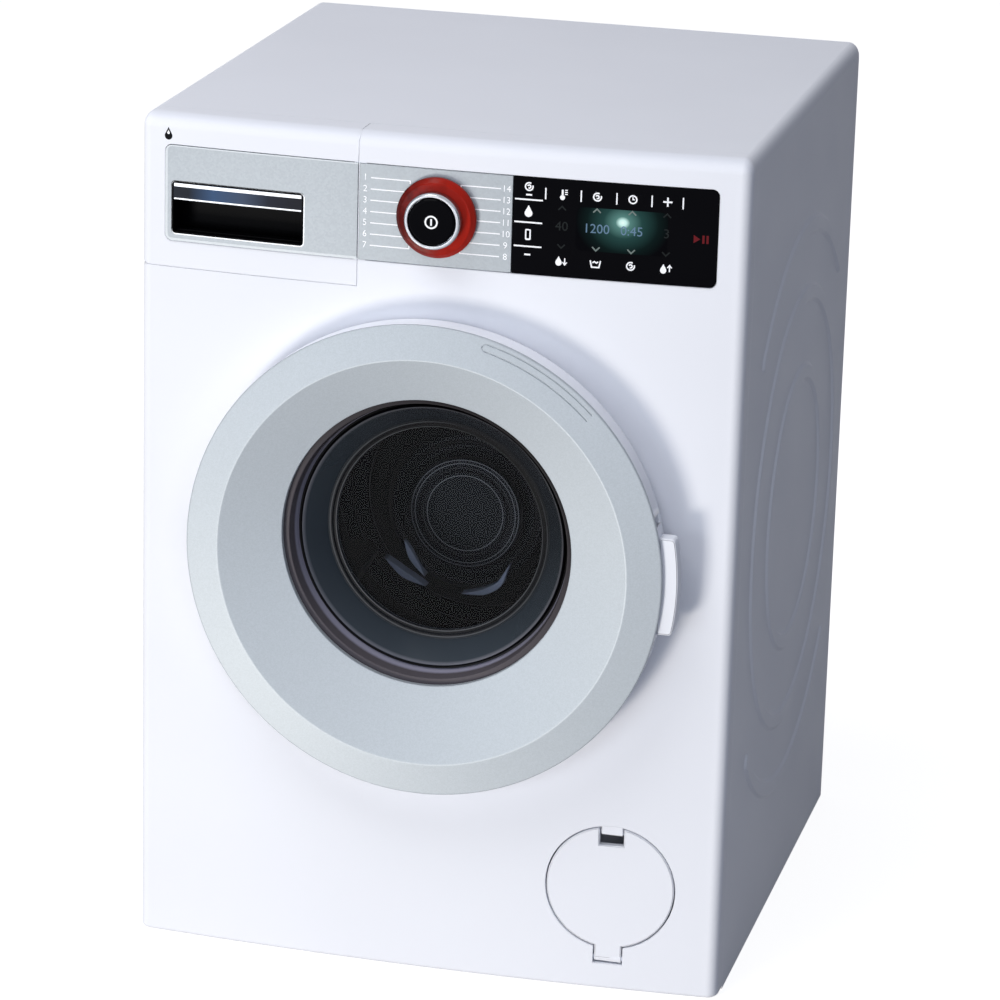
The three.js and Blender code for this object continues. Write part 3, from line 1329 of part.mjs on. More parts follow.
// Gear cover: a round plate on the tub's posts, with the motor's sleeve behind it
function gearCover(idlerPlace, motorPlace) {
  const plate = rodAlongY(
    gearCoverRadius, gearCoverY, gearCoverY + gearCoverThickness, 0, doorCentreZ, mediumSides);
  const toY = gearCoverY + gearCoverThickness + motorSleeveLength;
  const sleeve = prismAlongY(
    motorOutline(fitGap + innerWall), gearCoverY + gearCoverThickness / 2, toY);
  const sleeveBore = prismAlongY(
    motorOutline(fitGap), gearCoverY + gearCoverThickness, toY + overrun);
  const place = new THREE.Vector3(motorPlace.x, 0, motorPlace.y);
  const body = join(plate, shifted(sleeve, place));
  const shaftHole = rodAlongY(
    shaftRadius + fitGap, gearCoverY - overrun, toY, 0, doorCentreZ);
  const pinHole = rodAlongY(
    idlerPinRadius + fitGap, gearCoverY - overrun, toY, idlerPlace.x, idlerPlace.y, tinySides);
  const bossHole = rodAlongY(
    motorBossRadius + fitGap, gearCoverY - overrun, toY, motorPlace.x, motorPlace.y);
  const holes = [shifted(sleeveBore, place), shaftHole, pinHole, bossHole];
  return piece('gear_cover', cut(body, ...holes), blackPlastic);
}

function shifted(solid, by) {
  return solidOf(geometryOf(solid).translate(by.x, by.y, by.z));
}

// Motor can: round with two flats
function motorOutline(grow) {
  const radius = motorRadius + grow;
  const flat = motorFlat + grow;
  const half = Math.asin(flat / radius);
  const shape = new THREE.Shape();
  shape.absarc(0, 0, radius, -half, half);
  shape.absarc(0, 0, radius, Math.PI - half, Math.PI + half);
  shape.closePath();
  return shape;
}

function driveMotor() {
  const can = prismAlongY(motorOutline(0), motorFrontY, motorFrontY + motorLength);
  const frontBoss = rodAlongY(motorBossRadius, motorFrontY - motorBossLength, motorFrontY + fitGap);
  const rearBoss = rodAlongY(
    motorBossRadius, motorFrontY + motorLength - fitGap, motorFrontY + motorLength + motorBossLength);
  return piece('drive_motor', join(can, frontBoss, rearBoss), steel);
}

// Programme plate and display panel, let into the bowed front
function programmePlate() {
  const hole = rodAlongY(hubRadius + fitGap, middleFrontY - overrun, seamY, 0, dialZ);
  return piece('programme_plate', cut(
    onFront(programmePlateOutline(0), plateProud, plateThickness), hole), silverFoil);
}

function displayPanel() {
  const sheet = onFront(displayOutline(0), plateProud, plateThickness, edgeSteps);
  return piece('display_panel', sheet, blackGloss);
}

// Programme knob: red ring, silver bezel with its hub, and the power button that slides inside the bezel
function dialRing() {
  const inner = bezelTopRadius + fitGap;
  return piece('dial_ring', turned([
    [inner, dialBackY], [dialRingRadius, dialBackY], [dialRingRadius, dialBackY - dialRingEdge],
    [dialRingRadius - dialRingBevel, dialRingFrontY + fitGap], [inner, dialRingFrontY],
  ], knobSides), redClear);
}

function dialBezel() {
  const stemBore = buttonStemRadius + fitGap;
  const hubEndY = middleFrontY + hubLength;
  const cupY = bezelFrontY + bezelCupDepth;
  return piece('dial_bezel', turned([
    [stemBore, hubEndY], [hubRadius, hubEndY], [hubRadius, dialBackY], [bezelTopRadius, dialBackY],
    [bezelTopRadius, bezelBackY], [bezelRadius, bezelBackY], [bezelRadius, bezelBackY - bezelEdge],
    [bezelTopRadius, bezelFrontY], [bezelTopRadius - bezelWall, bezelFrontY],
    [bezelTopRadius - bezelWall, cupY], [stemBore, cupY],
  ], knobSides), silverPaint);
}

function powerButton() {
  const capRadius = bezelTopRadius - bezelWall - fitGap;
  const faceY = bezelFrontY - buttonProud;
  const stemEndY = middleFrontY + hubLength - buttonTravel / 2;
  return piece('power_button', turned([
    [0, faceY], [capRadius - bezelEdge, faceY], [capRadius, faceY + bezelEdge],
    [capRadius, faceY + buttonCapThickness], [buttonStemRadius, faceY + buttonCapThickness],
    [buttonStemRadius, stemEndY], [0, stemEndY],
  ], knobSides), blackGloss);
}

function dialSwitch() {
  const half = switchSize / 2;
  const backFaceY = boardFrontY - fitGap;
  const body = block(-half, half, backFaceY - switchDepth, backFaceY, dialZ - half, dialZ + half);
  const bore = rodAlongY(
    hubRadius + fitGap, backFaceY - switchDepth - overrun, backFaceY - switchFloor, 0, dialZ);
  return piece('dial_switch', cut(body, bore), blackPlastic);
}

function circuitBoard() {
  return piece('circuit_board', block(
    boardLeftX, boardRightX, boardFrontY, boardFrontY + boardThickness, boardBottomZ, boardTopZ), boardGreen);
}

// Soap drawer: the front's corner as a cap, its silver plate, the grip cup with its bar, and the tray
function drawerFront() {
  const outside = frontBlank(0, seamY).intersect(drawerCorner(-seamGap / 2));
  const inside = frontBlank(wall, seamY + overrun).intersect(drawerCorner(-seamGap / 2 - wall));
  const cupHole = throughFront(gripCupOutline(0), edgeSteps);
  const recess = recessTool(drawerPlateOutline(fitGap));
  return piece('drawer_front', cut(outside, inside, cupHole, recess), whitePlastic);
}

function gripCupOutline(inset) {
  const radius = Math.max(0, gripCupCornerRadius - inset);
  return roundedRectangle(
    gripCupLeftX + inset, gripCupRightX - inset, gripCupBottomZ + inset, gripCupTopZ - inset, radius, radius);
}

function drawerPlate() {
  const sheet = onFront(drawerPlateOutline(0), plateProud, plateThickness, edgeSteps);
  const cupHole = throughFront(gripCupOutline(0), edgeSteps);
  return piece('drawer_plate', cut(sheet, cupHole), silverFoil);
}

function gripCup() {
  const outer = onFront(gripCupOutline(fitGap), plateProud, gripCupDepth, edgeSteps);
  const inner = onFront(
    gripCupOutline(fitGap + gripCupWall), overrun, overrun - plateProud + gripCupDepth - gripCupWall);
  return piece('grip_cup', cut(outer, inner), blackPlastic);
}

function gripBar() {
  const inset = 2 * fitGap + gripCupWall;
  const outline = rectangle(
    gripCupLeftX + inset, gripCupRightX - inset, gripBarBottomZ, gripCupTopZ - inset);
  return piece('grip_bar', onFront(outline, plateProud, gripBarThickness), darkBlueGloss);
}

// The tray and the housing that guides it share the space inside the cabinet's left wall
const housingLeftX = -halfWidth + wall + fitGap;
const housingRightX = drawerEdgeX - seamGap - wall;
const housingFrontY = seamY + seamGap;
const housingBackY = housingFrontY + trayDepth + fitGap + housingWall;
const housingFloorZ = drawerBottomZ + housingFloorDrop;

function drawerTray() {
  const left = housingLeftX + housingWall + fitGap;
  const right = housingRightX - housingWall - fitGap;
  const bottom = housingFloorZ + housingWall + fitGap;
  const frontWallY = frontAt(gripCupLeftX) + gripCupDepth + fitGap;
  const toY = housingFrontY + trayDepth;
  const outer = block(left, right, frontWallY, toY, bottom, bottom + trayHeight);
  const edges = [
    left + innerWall,
    left + (right - left) * trayFirstDividerShare,
    left + (right - left) * traySecondDividerShare,
    right - innerWall + trayDividerThickness,
  ];
  const wells = edges.slice(1).map((edge, i) => block(
    edges[i], edge - trayDividerThickness,
    frontWallY + innerWall, toY - innerWall, bottom + innerWall, bottom + trayHeight + overrun));
  return piece('drawer_tray', cut(outer, ...wells), whitePlastic);
}

function drawerHousing() {
  const top = housingFloorZ + housingHeight;
  const outer = block(housingLeftX, housingRightX, housingFrontY, housingBackY, housingFloorZ, top);
  const inner = block(
    housingLeftX + housingWall, housingRightX - housingWall,
    housingFrontY - overrun, housingBackY - housingWall,
    housingFloorZ + housingWall, top + overrun);
  const spout = rodAlongZ(
    spoutRadius, housingFloorZ - spoutLength, housingFloorZ + housingWall / 2, spoutX, spoutY, smallSides);
  const bore = rodAlongZ(
    spoutRadius - spoutWall, housingFloorZ - spoutLength - overrun, housingFloorZ + housingWall + fitGap,
    spoutX, spoutY);
  return piece('drawer_housing', cut(join(cut(outer, inner), spout), bore), whitePlastic);
}

// Hoses: a bored tube along a curve
function hose(name, points) {
  const curve = new THREE.CatmullRomCurve3(points.map((point) => new THREE.Vector3(...point)));
  const section = new THREE.Shape().absarc(0, 0, spoutRadius, 0, 2 * Math.PI);
  section.holes.push(new THREE.Path().absarc(0, 0, spoutRadius - spoutWall, 0, 2 * Math.PI, true));
  const tube = new THREE.ExtrudeGeometry(
    section, { steps: tinySides, curveSegments: tinySides / 2, extrudePath: curve });
  return piece(name, solidOf(tube), clearHose);
}

function waterDuct() {
  const top = housingFloorZ - spoutLength - fitGap;
  const bottom = inletTopZ + fitGap;
  return hose('water_duct', [
    [spoutX, spoutY, top], [spoutX, spoutY, top - hoseBend],
    [inletX, spoutY, bottom + hoseBend], [inletX, spoutY, bottom],
  ]);
}

function drainHose() {
  const top = doorCentreZ - tubRadius - drainStubLength - fitGap;
  const end = backY - outletLength - fitGap;
  return hose('drain_hose', [
    [0, drainY, top], [0, drainY, top - 3 * hoseBend],
    [outletX / 2, 0, outletZ + 3 * hoseBend], [outletX, end - 3 * hoseBend, outletZ], [outletX, end, outletZ],
  ]);
}

function drainOutlet() {
  const mesh = piece('drain_outlet', turned([
    [outletBore, backY - outletLength], [outletRadius, backY - outletLength],
    [outletRadius, backY - outletFlangeThickness + fitGap],
    [outletFlangeRadius, backY - outletFlangeThickness + fitGap],
    [outletFlangeRadius, backY], [outletBore, backY],
  ], smallSides), blackPlastic);
  mesh.position.set(outletX, 0, outletZ);
  return mesh;
}

// Assembly: one group for each set of pieces that moves together
function group(...meshes) {
  return new THREE.Group().add(...meshes);
}

const idlerPlace = new THREE.Vector2(
  idlerDistance * Math.cos(idlerDirection), doorCentreZ + idlerDistance * Math.sin(idlerDirection));
const motorPlace = new THREE.Vector2(
  idlerPlace.x + motorDistance * Math.cos(motorDirection),
  idlerPlace.y + motorDistance * Math.sin(motorDirection));

function placed(mesh, x, z) {
  mesh.position.set(x, 0, z);
  return mesh;
}

const screwNames = [
  'rear_screw_lower_left', 'rear_screw_lower_right', 'rear_screw_upper_left', 'rear_screw_upper_right',
];
const cabinet = group(
  frontPanel(), cabinetShell(), rearCover(), basePlate(),
  ...screwPlaces().map(([x, z], i) => screw(screwNames[i], x, z)),
  batteryBox(), batteryDoor(), screw('battery_door_screw', 0, bayBossZ),
  batteryContact('battery_contact_left', -1), batteryContact('battery_contact_right', 1),
  hingeBracket(), hingePin(), latchCatch(), doorSeal(), flapPocket(),
  programmePlate(), displayPanel(), circuitBoard(), dialSwitch(),
  drawerHousing(), waterDuct(), tub(), drainHose(), drainOutlet(),
  placed(drumBush(), 0, doorCentreZ), gearCover(idlerPlace, motorPlace),
  placed(idlerPin(), idlerPlace.x, idlerPlace.y), placed(driveMotor(), motorPlace.x, motorPlace.y));

const door = group(doorRing(), doorRim(), doorWindow(), latchHook());
const drawer = group(drawerFront(), drawerPlate(), gripCup(), gripBar(), drawerTray());

const knob = group(dialRing(), dialBezel(), powerButton());
knob.position.z = dialZ;

const vanes = Array.from({ length: vaneCount }, (_, i) =>
  drumVane(`drum_vane_${i + 1}`, 2 * Math.PI * i / vaneCount));
const drum = group(drumShell(), drumBack(), ...vanes, drumShaft(), drumGear());
drum.position.z = doorCentreZ;

const gears = group(
  placed(idlerGear(), idlerPlace.x, idlerPlace.y), placed(motorPinion(), motorPlace.x, motorPlace.y));

// The door stands in front of the cabinet, so the machine moves back by half of that to sit over the origin
const machine = group(cabinet, door, drawer, knob, drum, gears, serviceFlap());
machine.position.y = doorCrestAhead / 2;

export default machine;
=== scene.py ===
"""Looks of a toy washing machine: fine surfaces, finishes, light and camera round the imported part.

Lengths are millimetres in the part's own frame (X right, Y to the back, Z up) and become metres in add_piece.
"""

import json
import math

import bpy
import numpy as np
from mathutils import Matrix, Vector
from mathutils.geometry import delaunay_2d_cdt

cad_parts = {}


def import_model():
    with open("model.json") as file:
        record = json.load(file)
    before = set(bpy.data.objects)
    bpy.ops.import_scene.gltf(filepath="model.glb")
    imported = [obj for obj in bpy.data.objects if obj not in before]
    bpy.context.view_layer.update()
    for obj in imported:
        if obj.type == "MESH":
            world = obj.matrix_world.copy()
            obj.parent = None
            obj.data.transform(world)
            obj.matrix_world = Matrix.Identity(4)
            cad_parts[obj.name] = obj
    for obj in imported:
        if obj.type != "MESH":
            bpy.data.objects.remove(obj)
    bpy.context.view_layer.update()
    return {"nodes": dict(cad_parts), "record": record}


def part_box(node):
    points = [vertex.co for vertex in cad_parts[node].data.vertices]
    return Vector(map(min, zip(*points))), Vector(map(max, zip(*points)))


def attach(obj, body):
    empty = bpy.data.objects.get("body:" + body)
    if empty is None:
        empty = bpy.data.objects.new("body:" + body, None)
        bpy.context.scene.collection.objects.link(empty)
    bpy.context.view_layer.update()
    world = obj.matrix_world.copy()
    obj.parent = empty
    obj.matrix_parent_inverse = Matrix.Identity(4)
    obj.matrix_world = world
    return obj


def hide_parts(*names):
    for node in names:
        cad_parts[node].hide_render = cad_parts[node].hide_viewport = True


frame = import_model()

MM = 0.001


def box_mm(node):
    """Lowest and highest corner of a node of the part, in millimetres."""
    return [np.array(corner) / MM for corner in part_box(node)]


# Clearances and thicknesses that the fine surfaces share with the part
SEAM_GAP = 0.4
FIT_GAP = 0.3
WALL = 2.2
EDGE = 0.35
FINE_EDGE = 0.12
SEAM_LINE = 0.02
SEAM_EDGE = 0.04
PRINT_HEIGHT = 0.03
PRINT_DEPTH = 0.06

# Cabinet
PANEL_LOW, PANEL_HIGH = box_mm("front_panel")
SHELL_LOW, SHELL_HIGH = box_mm("cabinet_shell")
FRONT_BOW = 4.0
TOP_RADIUS = 4.6
SIDE_RADIUS = 3.5
BOTTOM_RADIUS = 1.2
WRAP_RADIUS = 4.0
WRAP_STEPS = 12
SLOT_CORNER = 0.3
HALF_WIDTH = PANEL_HIGH[0]
HEIGHT = PANEL_HIGH[2]
FRONT_Y = PANEL_LOW[1] + FRONT_BOW
SEAM_Y = SHELL_LOW[1] - SEAM_GAP
BACK_Y = SHELL_HIGH[1]
WRAP_LENGTH = WRAP_RADIUS * math.pi / 2 + SEAM_Y - FRONT_Y - SIDE_RADIUS
WRAP_LEFT = -HALF_WIDTH + SIDE_RADIUS - WRAP_LENGTH
WRAP_TOP = HEIGHT - TOP_RADIUS + WRAP_LENGTH
SIDE_RUN = HEIGHT - TOP_RADIUS
CORNER_RUN = math.pi / 4 * (SIDE_RADIUS + TOP_RADIUS)
TOP_RUN = 2 * (HALF_WIDTH - SIDE_RADIUS)
SHELL_RUN = 2 * (SIDE_RUN + CORNER_RUN) + TOP_RUN

# Relief rings on the sides
RELIEF_HEIGHT = SHELL_HIGH[0] - HALF_WIDTH
RELIEF_WIDTH = 6.5
RELIEF_SLOPE = 1.6
RELIEF_RADII = (43.0, 68.3)
RELIEF_ARC_RADIUS = 90.0
RELIEF_ARC_HALF_ANGLE = math.radians(45)
RELIEF_Y = 13.0
RELIEF_Z = 129.5

# Door
RING_LOW, RING_HIGH = box_mm("door_ring")
RIM_HIGH = box_mm("door_rim")[1]
DOOR_RADIUS = RING_HIGH[0]
DOOR_Z = (RING_LOW[2] + RING_HIGH[2]) / 2
CREST_Y = RING_LOW[1]
BEVEL_WIDTH = 10.3
CREST_RADIUS = DOOR_RADIUS - BEVEL_WIDTH
EDGE_DROP = 2.0
CREST_WIDTH = 2.6
MARK_INSET = 1.5
MARK_WIDTH = 2.2
MARK_LINE = 0.45
MARK_DEPTH = 0.25
MARK_SLOPE = 0.15
MARK_START = math.radians(45)
MARK_END = math.radians(75)
MARK_SPAN = (42, 80)
MARK_MARGIN = 0.5
MARK_OUTER = DOOR_RADIUS - MARK_INSET + MARK_MARGIN
MARK_INNER = DOOR_RADIUS - MARK_INSET - MARK_WIDTH - MARK_MARGIN
MARK_GRID = 0.1
MARK_TURN = 0.2
RING_STAND = 13.0
RING_BACK_Y = FRONT_Y - RING_STAND
WINDOW_RADIUS = 44.7
WINDOW_RISE = 4.5
WINDOW_Z = DOOR_Z + WINDOW_RISE
WINDOW_STAND = 9.4
WINDOW_Y = FRONT_Y - WINDOW_STAND
WINDOW_LIP = 1.8
RING_FOOT_CORNER = 0.1
RING_EDGE_CORNER = 0.6
RING_BACK_CORNER = 0.3
CREST_CORNER = 1.2
LIP_CORNER = 0.4
RIM_FRONT_Y = RING_BACK_Y + FIT_GAP
RIM_BACK_Y = RIM_HIGH[1]
RIM_RADIUS = DOOR_RADIUS - FIT_GAP
GRIP_REACH = RIM_HIGH[0]
GRIP_HEIGHT = 30.0
GRIP_THICKNESS = 4.5
GRIP_CORNER = 1.5
GRIP_EDGE = 0.5
GRIP_SPACING = 2.0
GRIP_CORNER_STEPS = 6
GRIP_ARC_STEPS = 20
RIM_WALL = 2.4
RIM_PLATE = 1.5
RIM_PLATE_Y = RIM_BACK_Y - RIM_PLATE
RIM_BACK_CORNER = 1.2
RIM_TOP_CORNER = 0.25
RIM_INNER_CORNER = 0.4
RIM_MOUTH_CORNER = 0.3
JOINED_CORNER = 0.01
NOTCH_ABOVE = 4.3
NOTCH_HEIGHT = 3.0
NOTCH_DEPTH = 5.0
NOTCH_SIDES = 4
# The dark strip behind the rim's notch is painted shade
SHADE_STRIP_OVERLAP_DEGREES = 1
SHADE_STRIP_SIDES = 6
SHADE_STRIP_FOOT_CORNER = 0.1
SHADE_STRIP_TOP_CORNER = 0.2
BOWL_INSET = 1.7

# Seal, drum and window bowl. A profile's rows are a landmark, the ways outwards and backwards, a corner radius
SEAL_RADIUS = 49.0
SEAL_LIP_RADIUS = 41.8
BEAD_RADIUS = 40.4
BEAD_DEPTH = 8.4
BEAD_Y = WINDOW_Y + BEAD_DEPTH
STEP_RADIUS = 34.6
STEP_DEPTH = 15.8
STEP_Y = WINDOW_Y + STEP_DEPTH
BOWL_WALL = 1.6
BOWL_PROFILE = (
    ("window", 5.3, 0, 0.2), ("window", 5.3, 1.1, 0.2), ("window", -0.1, 1.1, 0.6), ("bead", 2.2, 1.4, 0.8),
    ("step", 2.0, 0.6, 0.6), ("step", -1.8, 1.9, 0.4), ("axis", 0, 1.9, 0), ("axis", 0, 0.5, 0),
    ("step", -2.6, 0.5, 0.1), ("step", -2.6, -0.2, 0.1), ("step", -1.6, -0.2, 0.1), ("step", -1.3, -0.9, 0.1),
    ("step", 0, -0.9, 0.2), ("bead", -0.5, -0.2, 0.3), ("bead", 0, -0.9, 0.3), ("bead", 0.6, -0.5, 0.2),
    ("bead", 0.8, 0.4, 0.2), ("bead", 1.6, 0.2, 0.4), ("window", -1.7, 0, 0.4),
)
SEAL_PROFILE = (
    ("front", 0, 0, 0.5), ("back", 0, -2.5, 0.2), ("back", 2.8, -2.5, 0.2), ("back", 2.8, 0, 0.2),
    ("lip", 2.4, 0, 0.5), ("lip", 0, -1.2, 0.5), ("lip", 0, -2.4, 0.5), ("back", -3.6, -2.9, 1.0),
    ("front", -2.4, 0, 0.8),
)
DRUM_LOW, DRUM_HIGH = box_mm("drum_shell")
DRUM_RADIUS = 48.0
DRUM_WALL = 1.6
DRUM_MOUTH_RADIUS = 43.5
CONE_RADIUS = 41.0
BOSS_RADIUS = 17.5
RIDGE_RADIUS = 23.5
BOSS_HEIGHT = 2.0
BACK_RIM_DEPTH = 5.0
DRUM_PROFILE = (
    ("mouth", 0, 0, 0.6), ("wall", 0, 0, 0.6), ("back", 0, 0, 0.3), ("back", -DRUM_WALL, 0, 0.3),
    ("wall", -DRUM_WALL, DRUM_WALL, 1.0), ("mouth", 0, DRUM_WALL, 0.6),
)
DRUM_BACK_PROFILE = (
    ("axis", 0, 0, 0), ("boss", -4.2, 0, 0.2), ("boss", -3.9, 0.6, 0.2), ("boss", -3.1, 0.6, 0.2),
    ("boss", -2.8, 0, 0.2), ("boss", 0, 0, 0.7), ("foot", 0, 2.0, 1.2), ("ridge", -3.0, 4.0, 1.5),
    ("ridge", 0, 0, 2.0), ("ridge", 3.0, 5.0, 3.0), ("cone", -6.0, -3.0, 2.0), ("cone", -5.0, -1.0, 0.6),
    ("cone", 0, -1.0, 0.6), ("cone", 0.6, 0, 0.3), ("rim", 0, 0, 0.4), ("rim", 0, 2.6, 0.2),
    ("cone", 0, 1.6, 0.5), ("foot", 0, 4.0, 0.5), ("hub", 0, 2.0, 0.3), ("hub_back", 0, 0, 0.3),
    ("back", 0, 0, 0),
)
HUB_RADIUS = 6.0
# Pale circles on the boss are painted highlights along its moulded ring edges
BOSS_CIRCLES = (17.2, 16.1, 12.2)
BOSS_CIRCLE_WIDTH = 0.25
# Three near-white ribs on the drum's back are painted glints, standing in for reflections of the lamps on the
# drum's vanes
GLINT_RIB_PATHS = (
    ((-26.0, 117.2), (-19.6, 112.2), (-12.4, 109.1)), ((-19.6, 123.4), (-17.1, 118.1), (-12.8, 112.3)),
    ((-1.0, 107.9), (6.0, 108.9), (11.2, 112.0), (14.5, 119.4)),
)
RIB_WIDTH = 2.0
RIB_DEPTH = 4.0
RIB_PROUD = 0.6

# Fascia
PLATE_LOW, PLATE_HIGH = box_mm("drawer_plate")
PROGRAMME_LOW = box_mm("programme_plate")[0]
DISPLAY_LOW, DISPLAY_HIGH = box_mm("display_panel")
CUP_LOW, CUP_HIGH = box_mm("grip_cup")
BAR_LOW, BAR_HIGH = box_mm("grip_bar")
FASCIA_CORNER = 2.1
CUP_DEPTH = 9.0
CUP_WALL = 0.45
CUP_CORNER = 1.2
CUP_LINE = 0.3
PLATE_FRAME = 0.8
PLATE_GAP = 0.12
SEAM_WIDTH = 0.05
SILL_HEIGHT = 0.5
SILL_BACK = 1.6
SILL_THICKNESS = 1.0
SILL_CORNER = 0.2
BAR_CORNER = 0.1
PLATE_LAP = 1.2
BAR_THICKNESS = 2.1
BAR_TOP_LINE = 1.0
BAR_LOW_LINE = 0.5
PLATE_THICKNESS = 1.0
PLATE_PROUD = 0.25
DRAWER_LOW, DRAWER_HIGH = box_mm("drawer_front")

# Knob
DIAL_LOW, DIAL_HIGH = box_mm("dial_ring")
BEZEL_LOW, BEZEL_HIGH = box_mm("dial_bezel")
BUTTON_LOW, BUTTON_HIGH = box_mm("power_button")
DIAL_Z = (DIAL_LOW[2] + DIAL_HIGH[2]) / 2
DIAL_RADIUS = DIAL_HIGH[0]
DIAL_BORE = 8.2
DIAL_PROFILE = (
    ("bore_back", 0, 0, 0.2), ("back", 0, 0, 0.3), ("back", 0, -1.2, 0.8), ("front", -1.3, 0.3, 0.9),
    ("bore_front", 0, 0, 0.3),
)
BEZEL_PROFILE = (
    ("rear", 1.6, 0, 0.2), ("rear", 3.8, 0, 0.2), ("back", 3.8, 0, 0.1), ("back", 7.9, 0, 0.1),
    ("face", 7.9, 3.1, 0.1), ("face", 8.5, 3.1, 0.1), ("face", 8.5, 0.8, 0.8), ("face", 8.1, 0, 0.5),
    ("face", 7.3, 0, 0.3), ("face", 7.3, 4.6, 0.1), ("face", 1.6, 4.6, 0.1),
)
CAP_PROFILE = (
    ("face", 0, 0, 0), ("face", 6.4, 0, 0.5), ("face", 7.0, 0.5, 0.3), ("face", 7.0, 2.5, 0.2),
    ("face", 1.3, 2.5, 0.1), ("rear", 1.3, 0, 0.2), ("rear", 0, 0, 0),
)
SHAFT_HOLE_RADIUS = 4.1

# Service flap
FLAP_LOW, FLAP_HIGH = box_mm("service_flap")
FLAP_RADIUS = 19.6
FLAP_X = (FLAP_LOW[0] + FLAP_HIGH[0]) / 2
FLAP_Z = 33.4
FLAP_NOTCH_WIDTH = 7.5
FLAP_NOTCH_HEIGHT = 5.8
FLAP_TAB_WIDTH = 8.3
FLAP_TAB_Z = FLAP_LOW[2]
FLAP_OPENING_STEPS = 72
FLAP_STEPS = 48
FLAP_BARREL_RADIUS = 1.4
FLAP_TRUNNION_RADIUS = 0.8
FLAP_TRUNNION_LENGTH = 2.5
FLAP_EAR_WIDTH = 3.6
FLAP_EAR_DEPTH = 5.5
FLAP_EAR_HEIGHT = 5.6
SNAP_BACK = 0.5
SNAP_HEIGHT = 2.6
SNAP_THICKNESS = 1.4
SNAP_TOP = 1.2

# Hinge and latch
HINGE_SHANK = 3.6
HINGE_EYE_RADIUS = 2.6
HINGE_EYE_HEIGHT = 6.2
HINGE_KNUCKLE_HEIGHT = 6.2
HINGE_KNUCKLE_WIDTH = 9.4
LATCH_WIDTH = 4.0
LATCH_HEIGHT = 6.0
LATCH_PLAY = 0.8
PIN_LOW, PIN_HIGH = box_mm("hinge_pin")
HINGE_X = (PIN_LOW[0] + PIN_HIGH[0]) / 2
RIM_SPLIT = -HINGE_X - HINGE_EYE_RADIUS - SEAM_GAP

# Fineness
FINE_SIDES = 160
ROUND_SIDES = 96
SMALL_SIDES = 40
ARC_STEPS = 24
OUTLINE_CORNER_STEPS = 8
BLOCK_CORNER_STEPS = 3
LINE_CORNER_STEPS = 2
CORNER_STEPS = 4
CORNER_SHARE = 0.48
STRAIGHT_TURN = 1e-3
SHARPEST_TURN = 3.0
NARROWEST_SHARE = 0.3
BLOCK_EDGE_SHARE = 0.6
GRID = 5.0
NUDGE = 0.01
POINT_CLEARANCE = 0.08
MERGE_DISTANCE = 1e-7
TINY = 1e-9
WELD_DECIMALS = 4
ROLL_SPACING = 1.3
RELIEF_SPACING = 1.0
RELIEF_STEPS = 3
RELIEF_TIP_SIDES = 20
BLADE_STEPS = 12


def front_at(x):
    """Depth of the cabinet's front face, which bows forward in the middle."""
    return FRONT_Y - FRONT_BOW * (1 - (np.clip(x, -HALF_WIDTH, HALF_WIDTH) / HALF_WIDTH) ** 2)


class Body:
    """A mesh in the making: corners, faces, and a normal for every corner of every face."""

    def __init__(self):
        self.corners = []
        self.faces = []
        self.normals = []

    def grid(self, points, normals, round_rows=False, round_columns=False):
        """Quads between rows of points; a row or column that ends on itself is joined round."""
        rows, columns = points.shape[:2]
        start = len(self.corners)
        self.corners.extend(points.reshape(-1, 3))
        flat = normals.reshape(-1, 3)
        for i in range(rows if round_rows else rows - 1):
            for j in range(columns if round_columns else columns - 1):
                ids = [
                    i * columns + j,
                    i * columns + (j + 1) % columns,
                    (i + 1) % rows * columns + (j + 1) % columns,
                    (i + 1) % rows * columns + j,
                ]
                self.faces.append([start + k for k in ids])
                self.normals.append([flat[k] for k in ids])

    def sheet(self, points, normals, triangles):
        start = len(self.corners)
        self.corners.extend(points)
        for triangle in triangles:
            self.faces.append([start + k for k in triangle])
            self.normals.append([normals[k] for k in triangle])

    def merge(self, other):
        start = len(self.corners)
        self.corners.extend(other.corners)
        self.faces.extend([start + k for k in face] for face in other.faces)
        self.normals.extend(other.normals)

    def moved(self, change):
        """A copy that is moved and turned by a matrix."""
        copy = Body()
        turn = np.array(change.to_3x3())
        shift = np.array(change.translation)
        copy.corners = [turn @ corner + shift for corner in self.corners]
        copy.faces = [list(face) for face in self.faces]
        copy.normals = [[turn @ normal for normal in face] for face in self.normals]
        return copy

    def welded(self):
        """Corners, faces and normals: shared corners joined, empty faces dropped, all faces outwards."""
        rounded = np.round(np.array(self.corners), WELD_DECIMALS)
        points, where = np.unique(rounded, axis=0, return_inverse=True)
        where = where.reshape(-1)
        faces, normals = [], []
        for face, face_normals in zip(self.faces, self.normals):
            kept = []
            for k, corner in enumerate(where[face]):
                if not kept or corner != kept[-1][0]:
                    kept.append((corner, face_normals[k]))
            if len(kept) > 1 and kept[0][0] == kept[-1][0]:
                kept.pop()
            if len({corner for corner, _ in kept}) > 2:
                faces.append([int(corner) for corner, _ in kept])
                normals.append([normal for _, normal in kept])
        volume = sum(
            np.dot(points[f[0]], np.cross(points[f[k]], points[f[k + 1]]))
            for f in faces for k in range(1, len(f) - 1))
        if volume < 0:
            faces = [face[::-1] for face in faces]
            normals = [face[::-1] for face in normals]
        return points, faces, normals


def shade_smooth(mesh, faces, normals):
    """Gives every corner of every face its own normal."""
    mesh.polygons.foreach_set("use_smooth", [True] * len(mesh.polygons))
    flat = np.array([normal for face in normals for normal in face])
    lengths = np.linalg.norm(flat, axis=1, keepdims=True)
    flat = flat / np.where(lengths > 0, lengths, 1)
    face_normals = np.repeat(
        np.array([polygon.normal[:] for polygon in mesh.polygons]),
        [len(face) for face in faces], axis=0)
    flat *= np.sign(np.sum(flat * face_normals, axis=1, keepdims=True) + TINY)
    mesh.normals_split_custom_set(flat.tolist())


